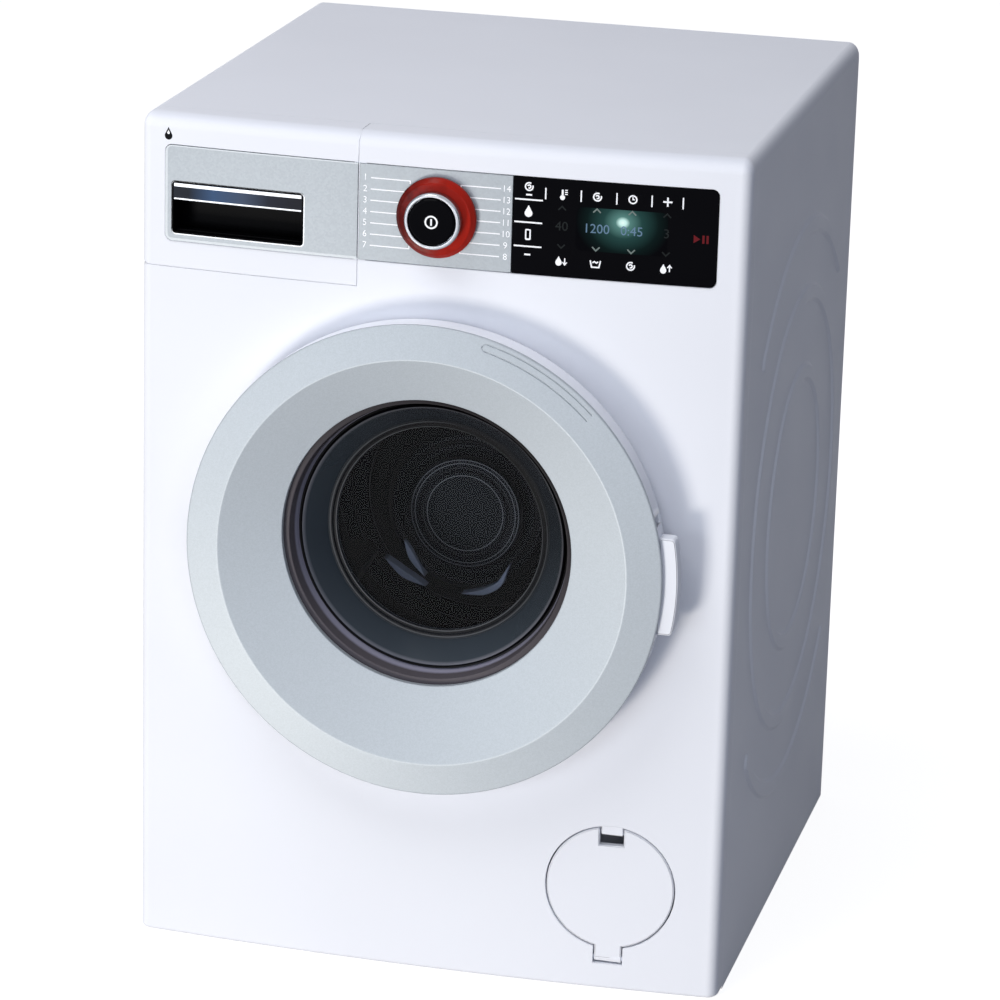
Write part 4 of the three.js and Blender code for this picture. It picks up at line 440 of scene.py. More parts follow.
def add_piece(name, body_mesh, material, body, replaced=(), smooth=True):
    """A finished piece of the machine, riding on one of the part's bodies."""
    points, faces, normals = body_mesh.welded()
    mesh = bpy.data.meshes.new(name)
    mesh.from_pydata((points * MM).tolist(), [], faces)
    if smooth:
        shade_smooth(mesh, faces, normals)
    piece = bpy.data.objects.new(name, mesh)
    bpy.context.scene.collection.objects.link(piece)
    mesh.materials.append(material)
    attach(piece, body)
    if replaced:
        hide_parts(*replaced)


def dress(node, body_mesh, material, body):
    """A finished piece in place of a node of the part."""
    add_piece(node + "_skin", body_mesh, material, body, [node])


def soften(points, radii):
    """Rounds each corner of a closed line. Returns the points and the direction of the line at each."""
    points = np.array(points, float)
    places, directions = [], []
    for k, here in enumerate(points):
        leg_in, leg_out = here - points[k - 1], points[(k + 1) % len(points)] - here
        way_in, way_out = leg_in / np.linalg.norm(leg_in), leg_out / np.linalg.norm(leg_out)
        turn = math.acos(np.clip(np.dot(way_in, way_out), -1, 1))
        if turn < STRAIGHT_TURN:
            places.append(here)
            directions.append(way_out)
            continue
        reach = min(
            radii[k] * math.tan(min(turn, SHARPEST_TURN) / 2),
            CORNER_SHARE * np.linalg.norm(leg_in), CORNER_SHARE * np.linalg.norm(leg_out))
        start, end = here - way_in * reach, here + way_out * reach
        for t in np.linspace(0, 1, CORNER_STEPS + 1):
            places.append((1 - t) ** 2 * start + 2 * t * (1 - t) * here + t ** 2 * end)
            direction = (1 - t) * way_in + t * way_out
            directions.append(direction / np.linalg.norm(direction))
    return np.array(places), np.array(directions)


def revolved(profile, angle):
    """Points and normals of a closed profile turned about axes along Y.

    Each profile row is radius, y, height of the centre and corner radius. Angles are in radians from upright."""
    places, ways = soften([row[:3] for row in profile], [row[3] for row in profile])
    sine, cosine = np.sin(angle), np.cos(angle)
    radius, depth, centre = (places[:, k, None] for k in range(3))
    d_radius, d_depth, d_centre = (ways[:, k, None] for k in range(3))
    flat = np.zeros_like(sine)
    points = np.stack([radius * sine, depth + flat, centre + radius * cosine], -1)
    along = np.stack([d_radius * sine, d_depth + flat, d_centre + d_radius * cosine], -1)
    across = np.broadcast_to(np.stack([cosine, flat, -sine], -1), along.shape)
    return points, np.cross(along, across)


def turned(profile, sides=FINE_SIDES):
    """A whole turn of a closed profile."""
    angle = np.linspace(0, 2 * math.pi, sides, endpoint=False)
    result = Body()
    result.grid(*revolved(profile, angle), round_rows=True, round_columns=True)
    return result


def turned_about(z, landmarks, table, sides=FINE_SIDES):
    """A whole turn about an axis at height z of a closed profile that is given from landmarks.

    Each row of the table is a landmark, the ways outwards and backwards from it, and a corner radius."""
    rows = []
    for name, out, behind, corner in table:
        radius, depth = landmarks[name]
        rows.append((radius + out, depth + behind, z, corner))
    return turned(rows, sides)


def swept(profile, start, end, sides):
    """Part of a ring about an axis along Y, with flat ends at two angles in degrees from +X towards +Z."""
    angle = math.pi / 2 - np.radians(np.linspace(start, end, sides + 1))
    points, normals = revolved(profile, angle)
    result = Body()
    result.grid(points, normals, round_rows=True)
    loop = soften([row[:3] for row in profile], [row[3] for row in profile])[0][:, :2]
    corners, triangles = triangulate([loop], np.zeros((0, 2)))
    order = np.argmin(np.linalg.norm(corners[:, None] - loop[None], axis=2), axis=1)
    for column, facing in ((0, -1.0), (-1, 1.0)):
        normal = facing * np.array([-math.cos(angle[column]), 0.0, math.sin(angle[column])])
        result.sheet(points[order, column], np.tile(normal, (len(order), 1)), triangles)
    return result


# Outlines are closed loops of (x, z) points, counter-clockwise as seen from the front
def arc(x, z, radius, start, end, steps=ARC_STEPS):
    """Points on an arc, angles in degrees from +X towards +Z."""
    angles = np.radians(np.linspace(start, end, steps + 1))
    return np.stack([x + radius * np.cos(angles), z + radius * np.sin(angles)], -1)


def circle(x, z, radius, sides=SMALL_SIDES):
    return arc(x, z, radius, 0, 360, sides)[:-1]


def rounded_box(left, right, bottom, top, radii, steps=OUTLINE_CORNER_STEPS):
    """A box whose corners have radii in the order lower left, lower right, upper right, upper left."""
    corners = [
        (left + radii[0], bottom + radii[0], radii[0], 180),
        (right - radii[1], bottom + radii[1], radii[1], 270),
        (right - radii[2], top - radii[2], radii[2], 0),
        (left + radii[3], top - radii[3], radii[3], 90),
    ]
    parts = []
    for x, z, radius, start in corners:
        if radius > 0:
            parts.append(arc(x, z, radius, start, start + 90, steps))
        else:
            parts.append(np.array([[x, z]]))
    return np.concatenate(parts)


def divided(outline, longest):
    """The outline with its long sides cut into shorter ones."""
    points = []
    for here, after in zip(outline, np.roll(outline, -1, axis=0)):
        count = max(1, math.ceil(np.linalg.norm(after - here) / longest))
        points.extend(here + (after - here) * k / count for k in range(count))
    return np.array(points)


def inward(outline):
    """For each point of a loop, the step that moves both its sides inwards by one."""
    before = outline - np.roll(outline, 1, axis=0)
    after = np.roll(outline, -1, axis=0) - outline
    before /= np.linalg.norm(before, axis=1, keepdims=True)
    after /= np.linalg.norm(after, axis=1, keepdims=True)
    sides = [np.stack([-way[:, 1], way[:, 0]], -1) for way in (before, after)]
    both = sides[0] + sides[1]
    share = np.sum(both * sides[0], axis=1, keepdims=True)
    return both / np.maximum(share, NARROWEST_SHARE)


def contains(loops, points):
    """Which points lie inside an odd number of loops."""
    inside = np.zeros(len(points), bool)
    for loop in loops:
        for (x1, z1), (x2, z2) in zip(loop, np.roll(loop, -1, axis=0)):
            crosses = (z1 > points[:, 1]) != (z2 > points[:, 1])
            if z1 != z2:
                inside ^= crosses & (points[:, 0] < x1 + (x2 - x1) * (points[:, 1] - z1) / (z2 - z1))
    return inside


def distance_to(loops, points):
    """Distance from each point to the nearest side of any loop."""
    nearest = np.full(len(points), np.inf)
    for loop in loops:
        for start, end in zip(loop, np.roll(loop, -1, axis=0)):
            side = end - start
            share = np.clip((points - start) @ side / (side @ side), 0, 1)
            gap = np.linalg.norm(points - start - share[:, None] * side, axis=1)
            nearest = np.minimum(nearest, gap)
    return nearest


def surface_normals(place, points):
    """Unit normals of a surface that `place` maps outline points onto, pointing to the front or the outside."""
    step_u, step_v = np.array([NUDGE, 0.0]), np.array([0.0, NUDGE])
    along_u = place(points + step_u) - place(points - step_u)
    along_v = place(points + step_v) - place(points - step_v)
    normals = np.cross(along_u, along_v)
    return normals / np.linalg.norm(normals, axis=1, keepdims=True)


def skin(place, outline, holes=(), thickness=WALL, edge=EDGE, spacing=GRID, extra=None, back=None):
    """A plate on a surface, with rounded edges along its outline and its holes.

    `place` maps outline points onto the outer surface and `back` onto the surface that the back lies under."""
    back = back or place
    loops = [outline] + [hole[::-1] for hole in holes]
    tops, result = [], Body()
    for loop in loops:
        step_in = inward(loop)
        levels = [
            (edge * (1 - math.cos(b)), edge * (1 - math.sin(b)), math.sin(b))
            for b in np.linspace(math.pi / 2, 0, CORNER_STEPS + 1)]
        normal = surface_normals(place, loop)
        out = place(loop - step_in * NUDGE) - place(loop)
        out -= np.sum(out * normal, axis=1, keepdims=True) * normal
        out /= np.linalg.norm(out, axis=1, keepdims=True)
        rows = [
            place(loop + step_in * inset) - normal * sink for inset, sink, _ in levels]
        bends = [out * math.sqrt(max(0, 1 - up * up)) + normal * up for _, _, up in levels]
        under = back(loop) - surface_normals(back, loop) * thickness
        ring = np.stack(rows + [under])
        ring_normals = np.stack(bends + [out])
        result.grid(ring, ring_normals, round_columns=True)
        inner = loop + step_in * edge
        down = -surface_normals(back, inner)
        result.grid(
            np.stack([under, back(inner) + down * thickness]), np.stack([down, down]), round_columns=True)
        tops.append(inner)
    inner_points = interior(tops, loops, spacing, extra)
    points, triangles = triangulate(tops, inner_points)
    normal = surface_normals(place, points)
    down = -surface_normals(back, points)
    result.sheet(place(points), normal, triangles)
    result.sheet(back(points) + down * thickness, down, triangles[:, ::-1])
    return result


def interior(tops, loops, spacing, extra):
    """Points inside the loops: an even grid and any extra ones, clear of the sides."""
    low, high = tops[0].min(0), tops[0].max(0)
    candidates = [] if extra is None else [(extra, POINT_CLEARANCE)]
    if spacing:
        across = np.arange(low[0] + spacing / 2, high[0], spacing)
        up = np.arange(low[1] + spacing / 2, high[1], spacing)
        lattice = np.stack(np.meshgrid(across, up), -1).reshape(-1, 2)
        candidates.append((lattice, spacing / 3))
    kept = []
    for points, clearance in candidates:
        points = points[contains(tops, points)]
        if len(points):
            kept.append(points[distance_to(tops, points) > clearance])
    return np.concatenate(kept) if kept else np.zeros((0, 2))


def triangulate(loops, inner_points):
    """Triangles that fill the first loop without the others, using the inner points too."""
    points = np.concatenate(list(loops) + [inner_points])
    edges, start = [], 0
    for loop in loops:
        edges.extend((start + k, start + (k + 1) % len(loop)) for k in range(len(loop)))
        start += len(loop)
    found = delaunay_2d_cdt([Vector(p) for p in points], edges, [], 0, MERGE_DISTANCE)
    source = np.array([origin[0] if origin else -1 for origin in found[3]])
    corners = np.where(source[:, None] >= 0, points[source], np.array([v[:] for v in found[0]]))
    triangles = np.array(found[2])
    middles = corners[triangles].mean(axis=1)
    return corners, triangles[contains(loops, middles)]


def print_on(place, outline, holes=(), spacing=None):
    """A thin layer on a surface."""
    loops = [outline] + [hole[::-1] for hole in holes]
    points, triangles = triangulate(loops, interior(loops, loops, spacing, None))
    normal = surface_normals(place, points)
    top = place(points)
    result = Body()
    result.sheet(top, normal, triangles)
    result.sheet(top - normal * PRINT_DEPTH, -normal, triangles[:, ::-1])
    for loop in loops:
        edge_top = place(loop)
        under = edge_top - surface_normals(place, loop) * PRINT_DEPTH
        out = place(loop - inward(loop) * NUDGE) - edge_top
        result.grid(np.stack([edge_top, under]), np.stack([out, out]), round_columns=True)
    return result


def level(y):
    """A flat surface that faces the front."""
    def place(points):
        return np.stack([points[:, 0], np.full(len(points), y), points[:, 1]], -1)
    return place


def box_between(low, high, edge=EDGE):
    """A block with rounded front edges."""
    outline = rounded_box(low[0], high[0], low[2], high[2], [edge] * 4, BLOCK_CORNER_STEPS)
    thickness = high[1] - low[1]
    return skin(level(low[1]), outline, thickness=thickness, edge=edge * BLOCK_EDGE_SHARE, spacing=None)


def rod_along_x(radius, left, right, y, z):
    """A rod across, with softened ends."""
    length = right - left
    profile = [(0, 0, 0, 0), (radius, 0, 0, FINE_EDGE), (radius, length, 0, FINE_EDGE), (0, length, 0, 0)]
    rod = turned(profile, SMALL_SIDES)
    return rod.moved(Matrix.Translation((left, y, z)) @ Matrix.Rotation(-math.pi / 2, 4, "Z"))


def front_surface(proud=0.0):
    """The bowed front, raised by a little."""
    def place(points):
        return np.stack([points[:, 0], front_at(points[:, 0]) - proud, points[:, 1]], -1)
    return place


def wrapped_front(points):
    """The bowed front with its edges rolled back to the seam; points past the flat part roll round the edge."""
    low = np.array([-HALF_WIDTH + SIDE_RADIUS, BOTTOM_RADIUS])
    high = np.array([HALF_WIDTH - SIDE_RADIUS, HEIGHT - TOP_RADIUS])
    base = np.clip(points, low, high)
    past = points - base
    reach = np.linalg.norm(past, axis=1)
    way = past / np.maximum(reach, TINY)[:, None]
    end_radius = np.where(way[:, 1] > 0, TOP_RADIUS, BOTTOM_RADIUS)
    roll = np.minimum(reach / WRAP_RADIUS, math.pi / 2)
    roll_radius = way[:, 0] ** 2 * SIDE_RADIUS + way[:, 1] ** 2 * end_radius
    front = front_at(base[:, 0])
    straight = np.maximum(0, reach - WRAP_RADIUS * math.pi / 2)
    share = straight / (WRAP_LENGTH - WRAP_RADIUS * math.pi / 2)
    back = roll_radius * (1 - np.cos(roll))
    return np.stack([
        base[:, 0] + way[:, 0] * SIDE_RADIUS * np.sin(roll),
        front + back + share * (SEAM_Y - front - roll_radius),
        base[:, 1] + way[:, 1] * end_radius * np.sin(roll),
    ], -1)


def roll_points():
    """Points along the rolled edges of the front, so that they come out smooth."""
    left, right = -HALF_WIDTH + SIDE_RADIUS, HALF_WIDTH - SIDE_RADIUS
    bottom, top = BOTTOM_RADIUS, HEIGHT - TOP_RADIUS
    rows = []
    for step in range(2 * CORNER_STEPS + 1):
        reach = WRAP_RADIUS * math.pi / 2 * step / (2 * CORNER_STEPS)
        rows.append(divided(rounded_box(
            left - reach, right + reach, bottom - reach, top + reach, [reach] * 4), ROLL_SPACING))
    return np.concatenate(rows)


def wrap_corner(x_side, z_side, start):
    """An outline's quarter turn round one of the front's corners, as far out as the seam."""
    x = x_side * (HALF_WIDTH - SIDE_RADIUS)
    z = HEIGHT - TOP_RADIUS if z_side > 0 else BOTTOM_RADIUS
    return arc(x, z, WRAP_LENGTH, start, start + 90, WRAP_STEPS)


def plate_outline(low, high, radii):
    return divided(rounded_box(low[0], high[0], low[2], high[2], radii), GRID)


# Materials: colours, and stops of a place and a colour
GRAIN_SCALE = 900.0
GRAIN_HEIGHT = 0.01
FINE_GRAIN_HEIGHT = 0.002
DRUM_GRAIN_HEIGHT = 0.001
DRIFT_SCALE = 14.0
DRIFT_SHARE = 0.012
DRIFT_LEAST = 0.05
GLOSS_SCALE = 60.0
GLOSS_SHARE = 0.1
FLAKE_HEIGHT = 0.004
GLOW_SCALE = 300.0
GLOW_LOW_SHARE = 0.8
RED_SCALE = 420.0
RED_SPECKLE_SHARE = 0.6
# The knob's red, from dark to bright. The rise to the right across the ring is painted light
RED_STOPS = ((0.35, (0.07, 0.003, 0.002)), (1.0, (0.36, 0.014, 0.007)))
# The grip bar's dark blue across its width. The paler middle stops are a painted sheen
BAR_SHEEN_STOPS = (
    (0.10, (0.008, 0.011, 0.018)), (0.30, (0.035, 0.075, 0.16)), (0.55, (0.045, 0.065, 0.11)),
    (0.75, (0.010, 0.013, 0.024)), (0.95, (0.006, 0.007, 0.012)),
)
TEAL_STOPS = (
    (0.0, (0.80, 1.0, 0.95)), (0.07, (0.60, 0.90, 0.85)), (0.15, (0.09, 0.22, 0.20)),
    (0.40, (0.016, 0.055, 0.051)), (0.75, (0.002, 0.009, 0.008)), (1.0, (0, 0, 0)),
)
TEAL_SPOT = (55.3, 241.2)
TEAL_REACH = 14.0
TEAL_TALL_SHARE = 0.85
CLEAR_IOR = 1.18
CLEAR_SCALE = 20.0
CLEAR_LOW_SHARE = 0.96
# Painted light on the bowl: its colours are full towards BOWL_LIGHT_WAY, the lower left, and fade to
# BOWL_FAR_SHARE at the upper right
BOWL_LIGHT_WAY = (-0.6, 0, -0.8)
BOWL_FULL_SHARE = 0.5
BOWL_FAR_SHARE = 0.12
BOWL_RANGE = (30.0, 46.0)
# The bowl's colours at radii. The dark stops are its smoky tone. The pale bands near 32.2, 33.9, 40.1 to 40.45
# and 42.0 to 42.3 are painted highlights on its rings and beads
BOWL_COLORS_AND_HIGHLIGHTS = (
    (31.9, (0.010, 0.011, 0.014)), (32.2, (0.10, 0.105, 0.115)), (32.5, (0.012, 0.013, 0.016)),
    (33.6, (0.012, 0.013, 0.016)), (33.9, (0.09, 0.095, 0.105)), (34.2, (0.018, 0.022, 0.028)),
    (35.0, (0.036, 0.045, 0.056)), (39.6, (0.044, 0.055, 0.068)), (40.1, (0.15, 0.155, 0.18)),
    (40.45, (0.15, 0.155, 0.18)), (40.65, (0.001, 0.001, 0.002)), (41.8, (0.002, 0.002, 0.003)),
    (42.0, (0.34, 0.33, 0.42)), (42.3, (0.30, 0.29, 0.37)), (42.5, (0.09, 0.08, 0.09)),
    (42.9, (0.09, 0.08, 0.09)),
)
BOWL_COVER_SHARES = ((31.6, 0.0), (32.2, 0.92), (40.0, 0.85), (41.0, 1.0))


def new_material(name, color, roughness, metallic=0.0, **extra):
    """A material with a Principled shader. Returns the material, its tree and the shader."""
    material = bpy.data.materials.new(name)
    material.use_nodes = True
    shader = material.node_tree.nodes["Principled BSDF"]
    shader.inputs["Base Color"].default_value = (*color, 1)
    shader.inputs["Roughness"].default_value = roughness
    shader.inputs["Metallic"].default_value = metallic
    for socket, value in extra.items():
        shader.inputs[socket.replace("_", " ")].default_value = value
    return material, material.node_tree, shader


def add_node(tree, kind, inputs, operation=None):
    """A node whose inputs are set to plain values, or linked where they are given another node's output."""
    node = tree.nodes.new("ShaderNode" + kind)
    if operation:
        node.operation = operation
    for key, value in inputs.items():
        if isinstance(value, bpy.types.NodeSocket):
            tree.links.new(value, node.inputs[key])
        else:
            node.inputs[key].default_value = value
    return node


def own_place(tree):
    """The place on the object, in metres."""
    return tree.nodes.new("ShaderNodeTexCoord").outputs["Object"]


def noise(tree, scale, detail=2.0):
    return add_node(
        tree, "TexNoise", {"Scale": scale, "Detail": detail, "Vector": own_place(tree)}).outputs["Fac"]


def color_ramp(tree, source, stops):
    """Maps a source onto colours, each given with its position."""
    node = add_node(tree, "ValToRGB", {"Fac": source})
    elements = node.color_ramp.elements
    for k in (0, -1):
        elements[k].position = stops[k][0]
        elements[k].color = (*stops[k][1], 1)
    for position, color in stops[1:-1]:
        elements.new(position).color = (*color, 1)
    return node.outputs["Color"]


def drifting(tree, source, low, high):
    """Maps a noise's middle range onto two colours."""
    return color_ramp(tree, source, ((0.3, low), (0.7, high)))


def bump(tree, shader, source, height):
    """Surface relief of a real height."""
    node = add_node(tree, "Bump", {"Distance": height * MM, "Height": source})
    tree.links.new(node.outputs["Normal"], shader.inputs["Normal"])


def moulded(name, color, roughness, height=GRAIN_HEIGHT, **extra):
    """Moulded plastic: a faint drift of colour, uneven gloss and a very fine grain."""
    material, tree, shader = new_material(name, color, roughness, **extra)
    low = [max(0.0, c - DRIFT_SHARE * (c + DRIFT_LEAST)) for c in color]
    high = [min(1.0, c + DRIFT_SHARE * (c + DRIFT_LEAST)) for c in color]
    tree.links.new(drifting(tree, noise(tree, DRIFT_SCALE), low, high), shader.inputs["Base Color"])
    smooth, rough = ([roughness * share] * 3 for share in (1 - GLOSS_SHARE, 1 + GLOSS_SHARE))
    tree.links.new(drifting(tree, noise(tree, GLOSS_SCALE, 3.0), smooth, rough), shader.inputs["Roughness"])
    bump(tree, shader, noise(tree, GRAIN_SCALE, 3.0), height)
    return material


def flaked(name, color, roughness, metallic, flake=2600.0, spread=0.02):
    """Silver paint or foil: metal flakes that vary from grain to grain."""
    material, tree, shader = new_material(name, color, roughness, metallic)
    cells = add_node(tree, "TexVoronoi", {"Scale": flake, "Vector": own_place(tree)})
    split = add_node(tree, "SeparateColor", {"Color": cells.outputs["Color"]})
    low = [c * (1 - spread) for c in color]
    high = [min(1.0, c * (1 + spread)) for c in color]
    colors = color_ramp(tree, split.outputs["Red"], ((0.0, low), (1.0, high)))
    tree.links.new(colors, shader.inputs["Base Color"])
    bump(tree, shader, split.outputs["Green"], FLAKE_HEIGHT)
    return material


def glowing(name, color, strength):
    """A lit print whose brightness drifts a little."""
    material, tree, shader = new_material(name, (0.002, 0.002, 0.002), 0.3, Specular_IOR_Level=0.05)
    low = [c * GLOW_LOW_SHARE for c in color]
    tree.links.new(drifting(tree, noise(tree, GLOW_SCALE), low, color), shader.inputs["Emission Color"])
    shader.inputs["Emission Strength"].default_value = strength
    return material


def display_light():
    """The display's teal light: a bright spot, a glow round it and darkness at the ends."""
    material, tree, shader = new_material("display_light", (0.002, 0.002, 0.003), 0.1, Specular_IOR_Level=0.01)
    spot = Vector((TEAL_SPOT[0] * MM, 0, TEAL_SPOT[1] * MM))
    stretch = Vector((1 / (TEAL_REACH * MM), 0, 1 / (TEAL_REACH * MM * TEAL_TALL_SHARE)))
    from_spot = add_node(tree, "Mapping", {
        "Vector": own_place(tree), "Scale": stretch, "Location": [-a * b for a, b in zip(spot, stretch)]})
    distance = add_node(tree, "VectorMath", {0: from_spot.outputs["Vector"]}, "LENGTH")
    colors = color_ramp(tree, distance.outputs["Value"], TEAL_STOPS)
    tree.links.new(colors, shader.inputs["Emission Color"])
    shader.inputs["Emission Strength"].default_value = 1.0
    return material


def share_across(tree, left, right):
    """How far a place lies on the way from one x to another."""
    split = add_node(tree, "SeparateXYZ", {"Vector": own_place(tree)})
    return add_node(tree, "MapRange", {
        "Value": split.outputs["X"], "From Min": left * MM, "From Max": right * MM}).outputs["Result"]


def ring_red():
    """Clear red of the knob's ring, speckled, with painted light: brighter to the right, where light gathers in
    the clear red.
    """
    material, tree, shader = new_material("red_clear", (0.26, 0.01, 0.004), 0.16, Specular_IOR_Level=0.06)
    # Painted light: the red grows brighter from left to right across the ring
    both = add_node(tree, "Math", {
        0: noise(tree, RED_SCALE, 3.0), 1: RED_SPECKLE_SHARE,
        2: share_across(tree, -DIAL_RADIUS, DIAL_RADIUS)}, "MULTIPLY_ADD")
    tree.links.new(color_ramp(tree, both.outputs["Value"], RED_STOPS), shader.inputs["Base Color"])
    return material


def bar_sheen():
    """Dark blue bar with a painted sheen: a paler stretch left of its middle."""
    material, tree, shader = new_material("bar_blue", (0.01, 0.015, 0.035), 0.15, Specular_IOR_Level=0.15)
    colors = color_ramp(tree, share_across(tree, BAR_LOW[0], BAR_HIGH[0]), BAR_SHEEN_STOPS)
    tree.links.new(colors, shader.inputs["Base Color"])
    return material


def clear_tint(name, tint, gloss_roughness):
    """Dark clear plastic of the bowl: see-through in its floor, smoky in its walls, with painted highlights on
    its beads and rings and painted light strongest at its lower left.
    """
    material, tree, smoke = new_material(name, (0.02, 0.02, 0.025), 0.2, Specular_IOR_Level=0.06)
    low = [c * CLEAR_LOW_SHARE for c in tint]
    through = add_node(tree, "BsdfTransparent", {"Color": drifting(tree, noise(tree, CLEAR_SCALE), low, tint)})
    gloss = add_node(tree, "BsdfGlossy", {"Roughness": gloss_roughness})
    weight = add_node(tree, "Fresnel", {"IOR": CLEAR_IOR})
    clear = add_node(tree, "MixShader", {
        "Fac": weight.outputs["Fac"], 1: through.outputs["BSDF"], 2: gloss.outputs["BSDF"]})
    place = bowl_radius(tree)
    # Painted light: the bowl's colours are multiplied by a share that fades from the lower left to the upper
    # right
    shaded = tree.nodes.new("ShaderNodeMix")
    shaded.data_type = "RGBA"
    shaded.blend_type = "MULTIPLY"
    shaded.inputs["Factor"].default_value = 1
    tree.links.new(color_ramp(tree, place, bowl_stops(BOWL_COLORS_AND_HIGHLIGHTS)), shaded.inputs["A"])
    tree.links.new(bowl_side(tree), shaded.inputs["B"])
    tree.links.new(shaded.outputs["Result"], smoke.inputs["Base Color"])
    cover = color_ramp(tree, place, bowl_stops((radius, [share] * 3) for radius, share in BOWL_COVER_SHARES))
    mix = add_node(tree, "MixShader", {"Fac": cover, 1: clear.outputs["Shader"], 2: smoke.outputs["BSDF"]})
    tree.links.new(mix.outputs["Shader"], tree.nodes["Material Output"].inputs["Surface"])
    return material


def bowl_radius(tree):
    """Distance from the window's axis, as a share of the way from BOWL_RANGE's start to its end."""
    flat = add_node(tree, "Mapping", {
        "Vector": own_place(tree), "Scale": (1, 0, 1), "Location": (0, 0, -WINDOW_Z * MM)})
    distance = add_node(tree, "VectorMath", {0: flat.outputs["Vector"]}, "LENGTH")
    return add_node(tree, "MapRange", {
        "Value": distance.outputs["Value"], "From Min": BOWL_RANGE[0] * MM,
        "From Max": BOWL_RANGE[1] * MM}).outputs["Result"]


def bowl_side(tree):
    """Painted light: full strength at the bowl's lower left and little at its upper right, as if lit from the
    lower left.
    """
    along = add_node(tree, "VectorMath", {0: own_place(tree), 1: BOWL_LIGHT_WAY}, "DOT_PRODUCT")
    middle = WINDOW_Z * BOWL_LIGHT_WAY[2] * MM
    return add_node(tree, "MapRange", {
        "Value": along.outputs["Value"], "From Min": middle - WINDOW_RADIUS * MM,
        "From Max": middle + WINDOW_RADIUS * MM * BOWL_FULL_SHARE, "To Min": BOWL_FAR_SHARE}).outputs["Result"]


def bowl_stops(rows):
    """Stops given at radii, as shares of the way along BOWL_RANGE."""
    span = BOWL_RANGE[1] - BOWL_RANGE[0]
    return [((radius - BOWL_RANGE[0]) / span, color) for radius, color in rows]


white = moulded("white_plastic", (0.80, 0.815, 0.87), 0.4, Specular_IOR_Level=0.004)
silver = flaked("silver_paint", (0.375, 0.41, 0.445), 0.5, 0.28, flake=3200.0, spread=0.05)
foil = flaked("silver_foil", (0.268, 0.294, 0.322), 0.45, 0.35, flake=1800.0, spread=0.05)
bezel_silver = flaked("bezel_silver", (0.40, 0.41, 0.44), 0.2, 0.95)
chrome = flaked("bright_silver", (0.72, 0.73, 0.75), 0.16, 0.9)
black_gloss = moulded(
    "black_gloss", (0.002, 0.002, 0.003), 0.10, height=FINE_GRAIN_HEIGHT, Specular_IOR_Level=0.015)
black = moulded("black_plastic", (0.0015, 0.0015, 0.002), 0.3, Specular_IOR_Level=0.03)
drum_black = moulded(
    "drum_plastic", (0.008, 0.0075, 0.008), 0.34, height=DRUM_GRAIN_HEIGHT, Specular_IOR_Level=0.08)
seal_dark = moulded("seal_rubber", (0.05, 0.05, 0.065), 0.33)
smoke_clear = clear_tint("dark_clear", (0.72, 0.75, 0.80), 0.03)
navy = moulded("dark_blue", (0.010, 0.016, 0.04), 0.14, height=FINE_GRAIN_HEIGHT, Specular_IOR_Level=0.2)
red_clear = ring_red()
tub_grey = moulded("tub_grey", (0.10, 0.105, 0.115), 0.5)
gear_plastic = moulded("gear_plastic", (0.72, 0.71, 0.66), 0.4)
steel = flaked("steel", (0.55, 0.55, 0.57), 0.28, 0.95, spread=0.04)
brass = flaked("brass", (0.62, 0.47, 0.2), 0.3, 0.95, spread=0.04)
board_green = moulded("circuit_board", (0.02, 0.13, 0.05), 0.35)
hose_clear = moulded("hose", (0.62, 0.66, 0.7), 0.25)
bar_blue = bar_sheen()
glow_teal = display_light()
glow_pale = glowing("pale_glow", (0.24, 0.30, 0.29), 0.8)
glow_blue = glowing("blue_glow", (0.17, 0.29, 0.44), 0.8)
glow_faint = glowing("faint_glow", (0.020, 0.026, 0.028), 0.6)
glow_red = glowing("red_glow", (0.18, 0.010, 0.016), 0.8)
print_white = moulded("white_print", (0.88, 0.89, 0.92), 0.4)
foil_edge = flaked("foil_edge", (0.42, 0.45, 0.48), 0.4, 0.2, spread=0.03)
print_black = moulded("black_print", (0.004, 0.004, 0.005), 0.4, Specular_IOR_Level=0.03)
# Painted highlight: pale grey for the circles on the drum's boss
boss_edge_highlight = moulded("painted_edge_highlight", (0.12, 0.115, 0.112), 0.3)
# Painted glint: near-white for the ribs on the drum's back
drum_glint = flaked("painted_glint_rib", (0.95, 0.95, 0.98), 0.35, 0.2)

SLOT_MATERIALS = {
    "white_plastic": white, "silver_paint": silver, "silver_foil": foil, "black_gloss": black_gloss,
    "black_plastic": black, "dark_clear": smoke_clear, "dark_blue": navy, "red_clear": red_clear,
    "drum_grey": drum_black, "seal_rubber": seal_dark, "tub_grey": tub_grey, "gear_plastic": gear_plastic,
    "circuit_board": board_green, "hose": hose_clear, "steel": steel, "brass": brass,
}


def dress_nodes():
    """Every node of the part gets the finish of its slot."""
    for row in frame["record"]["subparts"]:
        materials = frame["nodes"][row["node"]].data.materials
        materials.clear()
        materials.append(SLOT_MATERIALS[row["material_slot"]])


# Cabinet
def flap_opening(grow):
    """Outline of the service flap: a disc with a tab at the bottom."""
    half = FLAP_TAB_WIDTH / 2 + grow
    radius = FLAP_RADIUS + grow
    turn = math.degrees(math.asin(half / radius))
    disc = arc(FLAP_X, FLAP_Z, radius, -90 + turn, 270 - turn, FLAP_OPENING_STEPS)
    bottom = FLAP_TAB_Z - grow
    tab = np.array([[FLAP_X - half, bottom], [FLAP_X + half, bottom]])
    return np.concatenate([disc, tab])


